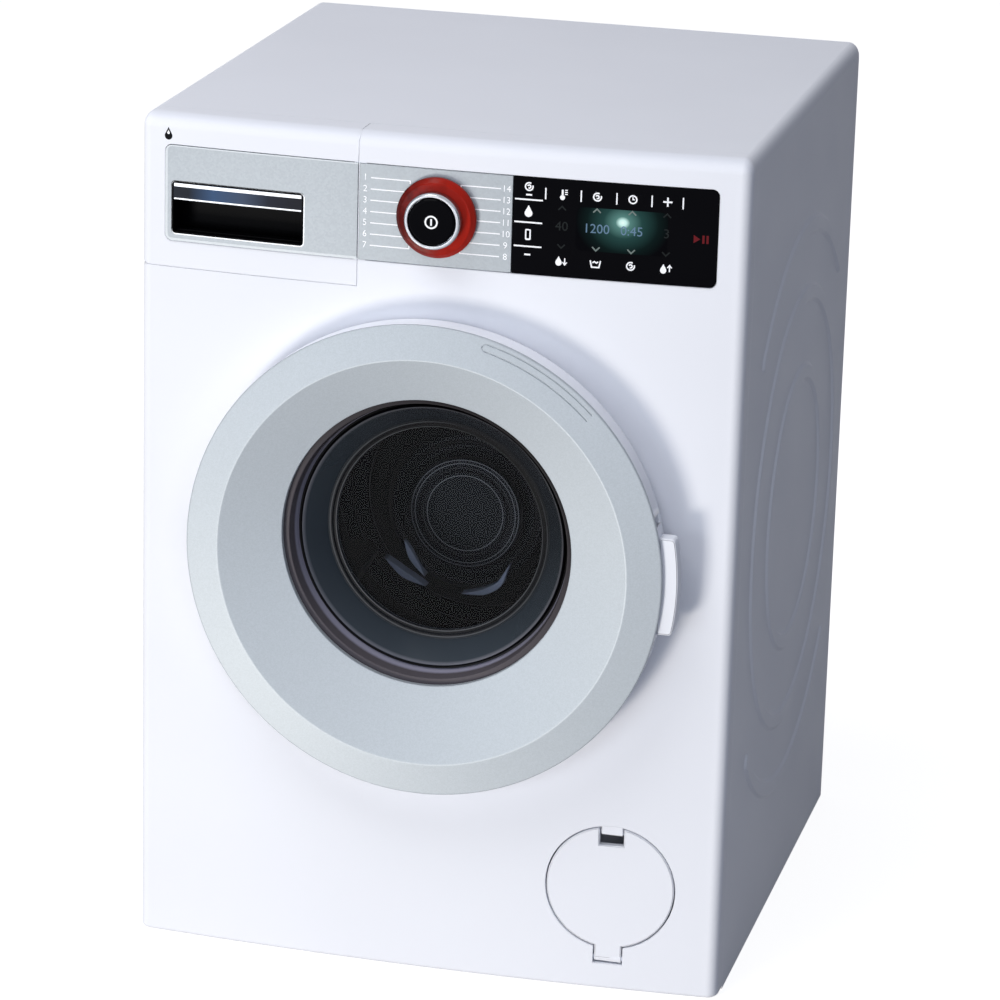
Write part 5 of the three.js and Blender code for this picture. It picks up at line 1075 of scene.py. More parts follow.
def front_panel():
    right = DRAWER_HIGH[0] + SEAM_WIDTH
    bottom = DRAWER_LOW[2] - SEAM_WIDTH
    outline = divided(np.concatenate([
        wrap_corner(-1, -1, 180), wrap_corner(1, -1, 270), wrap_corner(1, 1, 0),
        [[right, WRAP_TOP], [right, bottom], [WRAP_LEFT, bottom]],
    ]), GRID)
    openings = [
        circle(0, WINDOW_Z, SEAL_RADIUS, FINE_SIDES),
        divided(flap_opening(SEAM_GAP), GRID),
        divided(rounded_box(
            PROGRAMME_LOW[0] + WALL, DISPLAY_HIGH[0] + PLATE_GAP, DISPLAY_LOW[2] - PLATE_GAP,
            DISPLAY_HIGH[2] + PLATE_GAP, [0, FASCIA_CORNER, FASCIA_CORNER, 0]), GRID),
        slot_round("hinge_bracket", HINGE_SHANK, HINGE_EYE_HEIGHT, FIT_GAP),
        slot_round("latch_hook", LATCH_WIDTH, LATCH_HEIGHT, LATCH_PLAY),
    ]
    mesh = skin(wrapped_front, outline, openings, edge=FINE_EDGE, extra=roll_points())
    mesh.merge(snap_bar())
    for side in (-1, 1):
        mesh.merge(flap_ear(side))
    dress("front_panel", mesh, white, "cabinet")


def slot_round(node, width, height, play):
    """Opening in the front round a part that passes through it."""
    low, high = box_mm(node)
    middle = (low + high) / 2
    return rounded_box(
        middle[0] - width / 2 - play, middle[0] + width / 2 + play,
        middle[2] - height / 2 - play, middle[2] + height / 2 + play, [SLOT_CORNER] * 4, LINE_CORNER_STEPS)


def snap_bar():
    """The bar behind the flap's notch that a finger pushes against."""
    half = FLAP_NOTCH_WIDTH / 2 - SEAM_GAP
    front = front_at(FLAP_X) + SNAP_BACK
    rim = FLAP_Z + FLAP_RADIUS
    return box_between(
        (FLAP_X - half, front, rim - SNAP_HEIGHT), (FLAP_X + half, front + SNAP_THICKNESS, rim + SNAP_TOP))


def flap_ear(side):
    """A lug behind the front that holds one end of the flap's hinge."""
    inner = FLAP_X + side * (FLAP_TAB_WIDTH / 2 + SEAM_GAP)
    left, right = sorted((inner, inner + side * FLAP_EAR_WIDTH))
    front = front_at(FLAP_X)
    bottom = FLAP_TAB_Z - SEAM_GAP
    return box_between(
        (left, front + WALL / 2, bottom), (right, front + FLAP_EAR_DEPTH, bottom + FLAP_EAR_HEIGHT))


def side_relief(y, z):
    """Height of the relief rings at a place on the side: full in their middle, smooth down their flanks."""
    radius = np.hypot(y - RELIEF_Y, z - RELIEF_Z)
    from_line = np.min([np.abs(radius - ring) for ring in RELIEF_RADII], axis=0)
    lean = np.arctan2(np.abs(y - RELIEF_Y), np.abs(z - RELIEF_Z))
    held = np.minimum(lean, RELIEF_ARC_HALF_ANGLE)
    end_y, end_z = RELIEF_ARC_RADIUS * np.sin(held), RELIEF_ARC_RADIUS * np.cos(held)
    from_arc = np.hypot(np.abs(y - RELIEF_Y) - end_y, np.abs(z - RELIEF_Z) - end_z)
    off = np.minimum(from_line, from_arc)
    share = np.clip((RELIEF_WIDTH / 2 - off) / RELIEF_SLOPE, 0, 1)
    return RELIEF_HEIGHT * share ** 2 * (3 - 2 * share)


def shell_base(points, relief=False):
    """The cabinet's top and sides; the first coordinate runs forward, the second up, across and down."""
    depth, run = -points[:, 0], points[:, 1]
    mirrored = np.minimum(run, SHELL_RUN - run)
    side = np.where(run < SHELL_RUN / 2, -1.0, 1.0)
    turn = np.clip((mirrored - SIDE_RUN) / CORNER_RUN, 0, 1) * math.pi / 2
    inwards = np.maximum(0, mirrored - SIDE_RUN - CORNER_RUN)
    x = HALF_WIDTH - SIDE_RADIUS * (1 - np.cos(turn)) - inwards
    z = np.minimum(mirrored, SIDE_RUN) + TOP_RADIUS * np.sin(turn)
    if relief:
        x = x + np.where(mirrored < SIDE_RUN, side_relief(depth, z), 0)
    return np.stack([side * x, depth, z], -1)


def shell_outer(points):
    return shell_base(points, relief=True)


def relief_points():
    """Points along the relief's flanks on the left side, and the same on the right."""
    half = RELIEF_WIDTH / 2
    offsets = [half + RELIEF_SPACING / 2] + [
        half - RELIEF_SLOPE * k / RELIEF_STEPS for k in range(RELIEF_STEPS + 1)] + [0]
    rows = []
    for offset in offsets + [-offset for offset in offsets[:-1]]:
        for radius in RELIEF_RADII:
            count = int(2 * math.pi * radius / RELIEF_SPACING)
            rows.append(circle(-RELIEF_Y, RELIEF_Z, radius + offset, count))
        reach = math.degrees(RELIEF_ARC_HALF_ANGLE)
        count = int(2 * RELIEF_ARC_HALF_ANGLE * RELIEF_ARC_RADIUS / RELIEF_SPACING)
        for middle in (90, -90):
            rows.append(arc(
                -RELIEF_Y, RELIEF_Z, RELIEF_ARC_RADIUS + offset, middle - reach, middle + reach, count))
            for end in (-reach, reach):
                tip = arc(-RELIEF_Y, RELIEF_Z, RELIEF_ARC_RADIUS, middle + end, middle + end, 1)[0]
                rows.append(circle(tip[0], tip[1], abs(offset) + NUDGE, RELIEF_TIP_SIDES))
    left = np.concatenate(rows)
    right = left * [1, -1] + [0, SHELL_RUN]
    return np.concatenate([left, right])


def cabinet_shell():
    front = SEAM_Y + SEAM_LINE
    rounds = []
    for start in (SIDE_RUN, SHELL_RUN - SIDE_RUN - CORNER_RUN):
        for k in range(2 * CORNER_STEPS + 1):
            run = start + CORNER_RUN * k / (2 * CORNER_STEPS)
            depths = np.arange(front + ROLL_SPACING, BACK_Y, ROLL_SPACING)
            rounds.append(np.stack([-depths, np.full_like(depths, run)], -1))
    outline = divided(rounded_box(-BACK_Y, -front, 0, SHELL_RUN, [0] * 4), GRID / 4)
    mesh = skin(
        shell_outer, outline, edge=SEAM_EDGE, extra=np.concatenate(rounds + [relief_points()]), back=shell_base)
    dress("cabinet_shell", mesh, white, "cabinet")


# Door
def ring_profile():
    """Profile of the ring, with many rows over the part of its bevel that carries the mark."""
    edge_y = CREST_Y + EDGE_DROP
    bevel = [
        (radius, bevel_depth(radius), DOOR_Z, 0)
        for radius in np.linspace(MARK_OUTER, MARK_INNER, int((MARK_OUTER - MARK_INNER) / MARK_GRID) + 1)]
    return [
        (DOOR_RADIUS, RING_BACK_Y, DOOR_Z, RING_FOOT_CORNER), (DOOR_RADIUS, edge_y, DOOR_Z, RING_EDGE_CORNER),
    ] + bevel + [
        (CREST_RADIUS, CREST_Y, DOOR_Z, CREST_CORNER), (WINDOW_RADIUS, WINDOW_Y, WINDOW_Z, LIP_CORNER),
        (WINDOW_RADIUS, WINDOW_Y + WINDOW_LIP, WINDOW_Z, RING_FOOT_CORNER),
        (WINDOW_RADIUS + WINDOW_LIP, WINDOW_Y + WINDOW_LIP, WINDOW_Z, RING_FOOT_CORNER),
        (CREST_RADIUS - CREST_WIDTH, RING_BACK_Y, DOOR_Z, RING_BACK_CORNER),
    ]


def bevel_depth(radius):
    """Depth of the ring's outer bevel at a radius."""
    share = (DOOR_RADIUS - radius) / (DOOR_RADIUS - CREST_RADIUS)
    return CREST_Y + EDGE_DROP * (1 - share)


def mark_depth(across, up):
    """How deep the oblong line on the bevel is sunk, at places measured from the door's centre."""
    radius, angle = np.hypot(across, up), np.arctan2(up, across)
    middle = DOOR_RADIUS - MARK_INSET - MARK_WIDTH / 2
    from_middle = radius - middle
    before_start = (MARK_START - angle) * middle
    past_end = (angle - MARK_END) * middle
    round_end = np.hypot(from_middle, np.maximum(past_end, 0)) - MARK_WIDTH / 2
    off = np.abs(np.maximum(round_end, before_start)) - MARK_LINE / 2
    share = np.clip(-off / MARK_SLOPE, 0, 1)
    return MARK_DEPTH * share ** 2 * (3 - 2 * share)


def door_ring():
    """The ring as one closed skin; the mark is pressed into the bevel's finer part."""
    first, last = MARK_SPAN
    marked = np.arange(first, last, MARK_TURN)
    plain = np.linspace(last, first + 360, FINE_SIDES, endpoint=False)
    angles = math.pi / 2 - np.radians(np.concatenate([marked, plain]))
    points, normals = revolved(ring_profile(), angles)
    across, up = points[..., 0], points[..., 2] - DOOR_Z
    radius = np.hypot(across, up)
    on_bevel = (radius > MARK_INNER - NUDGE) & (radius < MARK_OUTER + NUDGE) & (points[..., 1] < WINDOW_Y)
    sunk = np.where(on_bevel, mark_depth(across, up), 0)
    slope_x = (mark_depth(across + NUDGE, up) - mark_depth(across - NUDGE, up)) / (2 * NUDGE)
    slope_z = (mark_depth(across, up + NUDGE) - mark_depth(across, up - NUDGE)) / (2 * NUDGE)
    lean = EDGE_DROP / (DOOR_RADIUS - CREST_RADIUS)
    facing = np.stack([
        slope_x + lean * across / radius, -np.ones_like(radius), slope_z + lean * up / radius], -1)
    points[..., 1] += sunk
    normals = np.where(on_bevel[..., None], facing, normals)
    mesh = Body()
    mesh.grid(points, normals, round_rows=True, round_columns=True)
    dress("door_ring", mesh, silver, "door")


def grip_outline():
    """The grip tab's outline, whose outer edge runs round the door's centre."""
    root = RIM_RADIUS - RIM_WALL / 2
    half = GRIP_HEIGHT / 2
    reach = GRIP_REACH - GRIP_CORNER
    turn = math.asin((half - GRIP_CORNER) / reach)
    corner_x = reach * math.cos(turn)
    degrees = math.degrees(turn)
    return np.concatenate([
        [[root, DOOR_Z - half]],
        arc(corner_x, DOOR_Z - half + GRIP_CORNER, GRIP_CORNER, -90, -degrees, GRIP_CORNER_STEPS),
        arc(0, DOOR_Z, GRIP_REACH, -degrees, degrees, GRIP_ARC_STEPS)[1:-1],
        arc(corner_x, DOOR_Z + half - GRIP_CORNER, GRIP_CORNER, degrees, 90, GRIP_CORNER_STEPS),
        [[root, DOOR_Z + half]],
    ])


def rim_profile(top):
    """The rim's wall, which ends at the given depth, and the outer edge of its plate."""
    return [
        (RIM_RADIUS, RIM_BACK_Y, DOOR_Z, RIM_BACK_CORNER), (RIM_RADIUS, top, DOOR_Z, RIM_TOP_CORNER),
        (RIM_RADIUS - RIM_WALL, top, DOOR_Z, RIM_TOP_CORNER),
        (RIM_RADIUS - RIM_WALL, RIM_PLATE_Y, DOOR_Z, RIM_INNER_CORNER),
        (RIM_SPLIT, RIM_PLATE_Y, DOOR_Z, JOINED_CORNER), (RIM_SPLIT, RIM_BACK_Y, DOOR_Z, JOINED_CORNER),
    ]


def rim_notch():
    """Angles of the notch's lower and upper end."""
    return [
        math.degrees(math.asin((GRIP_HEIGHT / 2 + NOTCH_ABOVE + side * NOTCH_HEIGHT / 2) / RIM_RADIUS))
        for side in (-1, 1)]


def notch_backing():
    """A dark strip behind the notch in the rim's wall: painted shade, so that the notch reads as a shadowed
    hole.
    """
    low, high = rim_notch()
    top, foot = RIM_FRONT_Y + NUDGE, RIM_FRONT_Y + NOTCH_DEPTH
    outer, inner = RIM_RADIUS - RIM_WALL / 2, RIM_RADIUS - 2 * RIM_WALL
    profile = [
        (outer, foot, DOOR_Z, SHADE_STRIP_FOOT_CORNER), (outer, top, DOOR_Z, SHADE_STRIP_TOP_CORNER),
        (inner, top, DOOR_Z, SHADE_STRIP_TOP_CORNER), (inner, foot, DOOR_Z, SHADE_STRIP_FOOT_CORNER),
    ]
    strip = swept(profile, low - SHADE_STRIP_OVERLAP_DEGREES, high + SHADE_STRIP_OVERLAP_DEGREES, SHADE_STRIP_SIDES)
    add_piece("rim_notch_painted_shade", strip, seal_dark, "door")


def rim_plate():
    """The rim's back, from its wall to the window's mouth."""
    mouth = WINDOW_RADIUS - BOWL_INSET + BOWL_WALL + 2 * FIT_GAP
    return turned([
        (RIM_SPLIT, RIM_PLATE_Y, DOOR_Z, JOINED_CORNER),
        (mouth + RIM_PLATE, RIM_PLATE_Y, WINDOW_Z, RIM_MOUTH_CORNER),
        (mouth, RIM_BACK_Y, WINDOW_Z, RIM_MOUTH_CORNER), (RIM_SPLIT, RIM_BACK_Y, DOOR_Z, JOINED_CORNER),
    ])


def hinge_knuckle(side):
    """A block above or below the hinge's eye that holds the pin."""
    near = DOOR_Z + side * (HINGE_EYE_HEIGHT / 2 + FIT_GAP)
    far = near + side * HINGE_KNUCKLE_HEIGHT
    half = HINGE_KNUCKLE_WIDTH / 2
    left = -math.sqrt(RIM_RADIUS ** 2 - (far - DOOR_Z) ** 2) + FIT_GAP
    return box_between(
        (max(HINGE_X - half, left), RIM_FRONT_Y, min(near, far)),
        (HINGE_X + half, RIM_BACK_Y - FIT_GAP, max(near, far)), FINE_EDGE)


def door_rim():
    """The rim: a wall with a notch and a gap for the hinge's eye, a plate, the grip and two knuckles."""
    eye = math.degrees(math.asin((HINGE_EYE_HEIGHT / 2 + FIT_GAP) / RIM_RADIUS))
    low, high = rim_notch()
    mesh = swept(rim_profile(RIM_FRONT_Y), high, 180 - eye, FINE_SIDES // 2)
    mesh.merge(swept(rim_profile(RIM_FRONT_Y + NOTCH_DEPTH), low, high, NOTCH_SIDES))
    mesh.merge(swept(rim_profile(RIM_FRONT_Y), -180 + eye, low, FINE_SIDES // 2))
    mesh.merge(rim_plate())
    mesh.merge(skin(
        level(RIM_FRONT_Y + FIT_GAP), divided(grip_outline(), GRIP_SPACING), thickness=GRIP_THICKNESS,
        edge=GRIP_EDGE, spacing=None))
    for side in (-1, 1):
        mesh.merge(hinge_knuckle(side))
    dress("door_rim", mesh, white, "door")


def door_window():
    """The bowl: a steep wall, a bead, a long cone, a stepped ring and a flat floor."""
    landmarks = {
        "window": (WINDOW_RADIUS, WINDOW_Y + WINDOW_LIP + FIT_GAP), "bead": (BEAD_RADIUS, BEAD_Y),
        "step": (STEP_RADIUS, STEP_Y), "axis": (0, STEP_Y)}
    bowl = turned_about(WINDOW_Z, landmarks, BOWL_PROFILE)
    dress("door_window", bowl, smoke_clear, "door")


def door_seal():
    low, high = box_mm("door_seal")
    outer = SEAL_RADIUS - FIT_GAP
    landmarks = {"front": (outer, low[1]), "back": (outer, high[1]), "lip": (SEAL_LIP_RADIUS, high[1])}
    seal = turned_about(WINDOW_Z, landmarks, SEAL_PROFILE)
    dress("door_seal", seal, seal_dark, "cabinet")


# Drum
def drum_shell():
    front, back = DRUM_LOW[1], DRUM_HIGH[1]
    landmarks = {"mouth": (DRUM_MOUTH_RADIUS, front), "wall": (DRUM_RADIUS, front), "back": (DRUM_RADIUS, back)}
    shell = turned_about(DOOR_Z, landmarks, DRUM_PROFILE)
    dress("drum_shell", shell, drum_black, "drum")


def drum_back():
    """The drum's back: a boss, a ridge round it and a cone. Pale circles on the boss are painted highlights on
    its ring edges, and three near-white ribs are painted glints.
    """
    low, high = box_mm("drum_back")
    face, back = low[1], high[1]
    rim = DRUM_HIGH[1] - BACK_RIM_DEPTH
    top = face + BOSS_HEIGHT
    landmarks = {
        "axis": (0, face), "boss": (BOSS_RADIUS, face), "foot": (BOSS_RADIUS, top),
        "ridge": (RIDGE_RADIUS, top), "cone": (CONE_RADIUS, rim),
        "rim": (DRUM_RADIUS - DRUM_WALL - FIT_GAP, rim), "hub": (HUB_RADIUS, top),
        "hub_back": (HUB_RADIUS, back), "back": (0, back)}
    plate = turned_about(DOOR_Z, landmarks, DRUM_BACK_PROFILE)
    dress("drum_back", plate, drum_black, "drum")
    circles, ribs = Body(), Body()
    # Pale circles that are painted highlights on the boss's ring edges
    for radius in BOSS_CIRCLES:
        circles.merge(print_on(
            level(face - PRINT_HEIGHT), *ring_outlines(0, DOOR_Z, radius, BOSS_CIRCLE_WIDTH, FINE_SIDES)))
    add_piece("boss_highlight_circles", circles, boss_edge_highlight, "drum", smooth=False)
    # Three near-white ribs that are painted glints
    for path in GLINT_RIB_PATHS:
        ribs.merge(skin(
            level(top - RIB_PROUD), blade(path, RIB_WIDTH), thickness=RIB_DEPTH, edge=FINE_EDGE, spacing=None))
    add_piece("drum_glint_ribs", ribs, drum_glint, "drum")


def blade(path, width):
    """A curved sliver through points, pointed at both ends."""
    path = np.array(path, float)
    steps = np.linspace(0, 1, BLADE_STEPS + 1)
    spine = np.stack([np.interp(steps, np.linspace(0, 1, len(path)), path[:, k]) for k in range(2)], -1)
    spine[1:-1] = (spine[:-2] + 2 * spine[1:-1] + spine[2:]) / 4
    way = np.gradient(spine, axis=0)
    way /= np.linalg.norm(way, axis=1, keepdims=True)
    side = np.stack([-way[:, 1], way[:, 0]], -1) * (width / 2 * np.sin(math.pi * steps))[:, None]
    outline = np.concatenate([spine[:-1] - side[:-1], (spine + side)[:0:-1]])
    return outline if area(outline) > 0 else outline[::-1]


# Fascia
def fascia_plates():
    """The drawer's plate, the programme plate and the display, in one line across the front."""
    corner = FASCIA_CORNER
    cup = divided(rounded_box(
        CUP_LOW[0] - FINE_EDGE, CUP_HIGH[0] + FINE_EDGE, CUP_LOW[2] - FINE_EDGE, CUP_HIGH[2] + FINE_EDGE,
        [CUP_CORNER] * 4), GRID)
    shaft = circle(0, DIAL_Z, SHAFT_HOLE_RADIUS)
    for node, radii, holes, material, body, slot in (
            ("drawer_plate", [corner, 0, 0, corner], [cup], foil, "drawer", "silver_foil"),
            ("programme_plate", [0] * 4, [shaft], foil, "cabinet", "silver_foil"),
            ("display_panel", [0, corner, corner, 0], [], black_gloss, "cabinet", "black_gloss")):
        outline = plate_outline(*box_mm(node), radii)
        plate = skin(front_surface(PLATE_PROUD), outline, holes, PLATE_THICKNESS, FINE_EDGE)
        dress(node, plate, material, body)


def drawer_front():
    right, bottom = DRAWER_HIGH[0], DRAWER_LOW[2]
    outline = divided(np.concatenate([
        [[WRAP_LEFT, bottom], [right, bottom], [right, WRAP_TOP]],
        wrap_corner(-1, 1, 90),
    ]), GRID)
    recess = divided(rounded_box(
        PLATE_LOW[0] - PLATE_GAP, PLATE_HIGH[0] - PLATE_LAP,
        PLATE_LOW[2] - PLATE_GAP, PLATE_HIGH[2] + PLATE_GAP,
        [FASCIA_CORNER, 0, 0, FASCIA_CORNER]), GRID)
    mesh = skin(wrapped_front, outline, [recess], edge=FINE_EDGE, extra=roll_points())
    dress("drawer_front", mesh, white, "drawer")


def drawer_line(name, outer, inner=(), material=chrome):
    """A thin line on the drawer's plate."""
    mesh = print_on(front_surface(PLATE_PROUD + PRINT_HEIGHT), outer, inner)
    add_piece(name, mesh, material, "drawer", smooth=False)


def cup_inside():
    """Left, right, bottom and top of the cup's inside."""
    return CUP_LOW[0] + CUP_WALL, CUP_HIGH[0] - CUP_WALL, CUP_LOW[2] + CUP_WALL, CUP_HIGH[2] - CUP_WALL


def grip_cup():
    """The cup with its floor and a sill, and a bright silver line along its right and lower edge: a real
    outline, drawn only where it catches the light, so partly a painted highlight.
    """
    low, high = CUP_LOW, CUP_HIGH
    left, right, bottom, top = cup_inside()
    rim = divided(rounded_box(low[0], high[0], low[2], high[2], [CUP_CORNER] * 4), GRID / 2)
    mouth = divided(rounded_box(left, right, bottom, top, [CUP_CORNER / 2] * 4), GRID / 2)
    sill = divided(rounded_box(
        left, right, bottom, bottom + SILL_HEIGHT, [SILL_CORNER] * 4, LINE_CORNER_STEPS), GRID / 2)
    cup = skin(front_surface(PLATE_PROUD), rim, [mouth], CUP_DEPTH, FINE_EDGE, spacing=None)
    cup.merge(skin(front_surface(PLATE_PROUD + CUP_WALL - CUP_DEPTH), rim, (), CUP_WALL, FINE_EDGE))
    cup.merge(skin(front_surface(-SILL_BACK), sill, (), SILL_THICKNESS, FINE_EDGE, spacing=None))
    dress("grip_cup", cup, black, "drawer")
    # Partly painted highlight: the silver outline is drawn only along the right and lower edge, where it catches
    # the light
    grown = divided(rounded_box(
        low[0] - NUDGE, high[0] + CUP_LINE, low[2] - CUP_LINE, high[2] + NUDGE,
        [CUP_CORNER + CUP_LINE / 2] * 4), GRID / 2)
    drawer_line("grip_frame_highlight_line", grown, [rim])


def grip_bar():
    """The bar across the cup's top, with a bright line along its top and its lower edge."""
    left, right, _, top = cup_inside()
    left, right, top = left + NUDGE, right - NUDGE, top - NUDGE
    bottom = BAR_LOW[2]
    outline = divided(rounded_box(
        left, right, bottom, top, [BAR_CORNER, BAR_CORNER, CUP_CORNER / 2, CUP_CORNER / 2],
        BLOCK_CORNER_STEPS), GRID / 2)
    bar = skin(front_surface(PLATE_PROUD), outline, (), BAR_THICKNESS, FINE_EDGE, spacing=None)
    dress("grip_bar", bar, bar_blue, "drawer")
    inset = CUP_CORNER / 4
    for name, low_edge, high_edge in (
            ("grip_bar_top_line", top - BAR_TOP_LINE - FINE_EDGE, top - FINE_EDGE),
            ("grip_bar_low_line", bottom + FINE_EDGE / 2, bottom + BAR_LOW_LINE)):
        drawer_line(name, divided(upright_box(left + inset, right - inset, low_edge, high_edge), GRID / 2))


def drawer_plate_frame():
    """A paler frame round the drawer's plate, open to the right."""
    radius = FASCIA_CORNER - PLATE_FRAME
    inner = divided(rounded_box(
        PLATE_LOW[0] + PLATE_FRAME, PLATE_HIGH[0] - NUDGE, PLATE_LOW[2] + PLATE_FRAME,
        PLATE_HIGH[2] - PLATE_FRAME / 2, [radius, 0, 0, radius]), GRID)
    outer = plate_outline(PLATE_LOW, PLATE_HIGH, [FASCIA_CORNER, 0, 0, FASCIA_CORNER])
    drawer_line("drawer_plate_frame", outer, [inner], foil_edge)


# Knob
def knob():
    """The red ring, its silver bezel and the power button in the middle."""
    back, front = DIAL_HIGH[1], DIAL_LOW[1]
    for node, landmarks, table, material, body, slot in (
            ("dial_ring", {
                "bore_back": (DIAL_BORE, back), "back": (DIAL_RADIUS, back), "front": (DIAL_RADIUS, front),
                "bore_front": (DIAL_BORE, front)}, DIAL_PROFILE, red_clear, "knob", "red_clear"),
            ("dial_bezel", {
                "rear": (0, BEZEL_HIGH[1]), "back": (0, back), "face": (0, BEZEL_LOW[1])},
                BEZEL_PROFILE, bezel_silver, "knob", "silver_paint"),
            ("power_button", {
                "face": (0, BUTTON_LOW[1]), "rear": (0, BUTTON_HIGH[1])},
                CAP_PROFILE, black_gloss, "power_button", "black_gloss")):
        mesh = turned_about(DIAL_Z, landmarks, table, ROUND_SIDES)
        dress(node, mesh, material, body)


def service_flap():
    half = FLAP_NOTCH_WIDTH / 2
    radius = FLAP_RADIUS
    turn = math.degrees(math.asin(half / radius))
    tab_half = FLAP_TAB_WIDTH / 2
    tab_turn = math.degrees(math.asin(tab_half / radius))
    notch_z = FLAP_Z + radius - FLAP_NOTCH_HEIGHT
    tab_bottom = FLAP_TAB_Z + FLAP_BARREL_RADIUS
    outline = np.concatenate([
        arc(FLAP_X, FLAP_Z, radius, -90 + tab_turn, 90 - turn, FLAP_STEPS),
        [[FLAP_X + half, notch_z], [FLAP_X - half, notch_z]],
        arc(FLAP_X, FLAP_Z, radius, 90 + turn, 270 - tab_turn, FLAP_STEPS),
        [[FLAP_X - tab_half, tab_bottom], [FLAP_X + tab_half, tab_bottom]],
    ])
    mesh = skin(front_surface(), divided(outline, GRID), (), WALL, EDGE)
    hinge_y = front_at(FLAP_X) + FLAP_BARREL_RADIUS
    hinge_z = FLAP_TAB_Z + FLAP_BARREL_RADIUS
    mesh.merge(rod_along_x(
        FLAP_BARREL_RADIUS, FLAP_X - tab_half, FLAP_X + tab_half, hinge_y, hinge_z))
    reach = tab_half + FLAP_TRUNNION_LENGTH
    mesh.merge(rod_along_x(FLAP_TRUNNION_RADIUS, FLAP_X - reach, FLAP_X + reach, hinge_y, hinge_z))
    dress("service_flap", mesh, white, "service_flap")


# Prints on the fascia: leader lines, plain numbers and generic symbols
LINE_WIDTH = 0.34
LEGEND_TOP = 248.6
LEGEND_PITCH = 3.4
LEGEND_COUNT = 7
LEGEND_LEFT = (-23.0, -10.8)
LEGEND_RIGHT = (9.4, 21.6)
LEGEND_INDENT = 2.6
LEGEND_DIGIT = 1.9
LEGEND_NEAR_SHARES = (1, 0.35, 0, 0, 0, 0.35, 1)
LEGEND_REACH = 2.4
TICK_LENGTH = 0.9
DIGIT_SHARE = 0.69
RULE_COLUMN = (23.2, 31.5)
RULE_HEIGHTS = (246.0, 239.2, 232.0)
RULE_WIDTH = 0.45
TAB_PLACES = (32.3, 42.8, 53.3, 63.6, 72.7)
TAB_RANGE = (246.5, 249.9)
TAB_WIDTH = 0.4
COLUMN_PLACES = (37.3, 47.6, 58.0, 68.2)
CHEVRON_HEIGHTS = (244.2, 232.8)
CHEVRON_WIDTH = 2.2
CHEVRON_RISE = 1.1
CHEVRON_LINE = 0.4
READING_HEIGHT = 238.7
READINGS = ("40", "1200", "0:45", "3")
READING_SIZE = 2.7
HEADING_HEIGHT = 248.3
ICON_HEIGHT = 228.4
ICON_SIZE = 1.35
ICON_LINE = 0.42
ICON_UNIT = 1.0
SPIRAL_TURNS = ((60, 380, 20), (-120, 160, 12))
STEM_SHARES = (-0.3, 0.3, -0.4, 1.5)
STEM_CORNER = 0.3
BULB_SHARES = (-0.9, 0.75)
BULB_SIDES = 16
MARK_SHARES = ((0.7, 1.5, -0.05, 0.25), (0.7, 1.5, 0.55, 0.85), (0.7, 1.5, 1.15, 1.45))
HAND_SHARES = ((0, 0.75), (0, 0), (0.55, 0))
HAND_LINE_SHARE = 0.8
PLUS_LINE_SHARE = 1.2
PLUS_HALF = 0.25
PLUS_GAP = 0.3
TUB_SHARES = ((-1.5, 0.9), (-1.1, -1.1), (1.1, -1.1), (1.5, 0.9))
WAVE_SHARES = ((-0.85, 0.2), (-0.3, 0.6), (0.3, 0.2), (0.85, 0.6))
ARROW_STEM_SHARES = (1.05, 1.4, -0.9, 0.9)
ARROW_HEAD_SHARES = ((0.6, 0.3), (1.22, 1.1), (1.85, 0.3))
ARROW_LINE = 0.35
ARROW_DROP_SIZE = 2.6
ARROW_DROP_ACROSS = -0.6
SWITCH_SPIRAL_Z = 249.9
SWITCH_DROP_Z = 242.6
SWITCH_DROP_SIZE = 3.2
SWITCH_DASHES = (247.2, 229.3)
SWITCH_DASH_HALF = 0.9
SWITCH_DASH_HEIGHT = 0.5
PHONE_HALF = 0.85
PHONE_RANGE = (233.9, 237.2)
PHONE_CORNER = 0.35
SCREEN_HALF = 0.45
SCREEN_RANGE = (234.4, 236.8)
SCREEN_CORNER = 0.1
GLOW_RANGE = (41.5, 68.5, 232.0, 245.0)
GLOW_CORNER = 2.0
DIGIT_STEPS = 3
RING_SIDES = 28
PLAY_PLACE = (78.4, 237.9)
PLAY_SIZE = 1.2
PLAY_TRIANGLE_SHARES = (-1.9, -0.3)
PLAY_BAR_SHARES = ((0.2, 0.75), (1.2, 1.75))
DROP_PLACE = (-83.8, 256.0)
DROP_SIZE = 3.4
DROP_SPACING = 1.0
DROP_LIGHT_SHARE = 1 / 3
DROP_LIGHT_RISE_SHARE = 1 / 8
DROP_BELLY_SHARES = (-0.2, 0.36)
DROP_TIP_SHARE = 0.55
DROP_BELLY_DEGREES = (150, 390)
DROP_STEPS = 18
POWER_RADIUS = 2.0
POWER_LINE = 0.5


def upright_box(left, right, bottom, top):
    return rounded_box(left, right, bottom, top, [0] * 4)


def icon_box(shares, x, z):
    """A box whose sides are shares of the icon unit from a place."""
    left, right, bottom, top = (share * ICON_UNIT for share in shares)
    return upright_box(x + left, x + right, z + bottom, z + top)


def icon_path(shares, x, z):
    """Points that are shares of the icon unit from a place."""
    return np.array(shares, float) * ICON_UNIT + [x, z]


def stroke(points, width):
    """Outline of a line of the given width through points."""
    points = np.array(points, float)
    ways = np.diff(points, axis=0)
    ways /= np.linalg.norm(ways, axis=1, keepdims=True)
    sides = np.stack([-ways[:, 1], ways[:, 0]], -1)
    first, last = sides[:1], sides[-1:]
    middle = sides[:-1] + sides[1:]
    middle /= np.sum(middle * sides[:-1], axis=1, keepdims=True)
    offsets = np.concatenate([first, middle, last]) * width / 2
    return np.concatenate([points - offsets, (points + offsets)[::-1]])


def ring_outlines(x, z, radius, width, sides=RING_SIDES):
    return circle(x, z, radius, sides), [circle(x, z, radius - width, sides)]


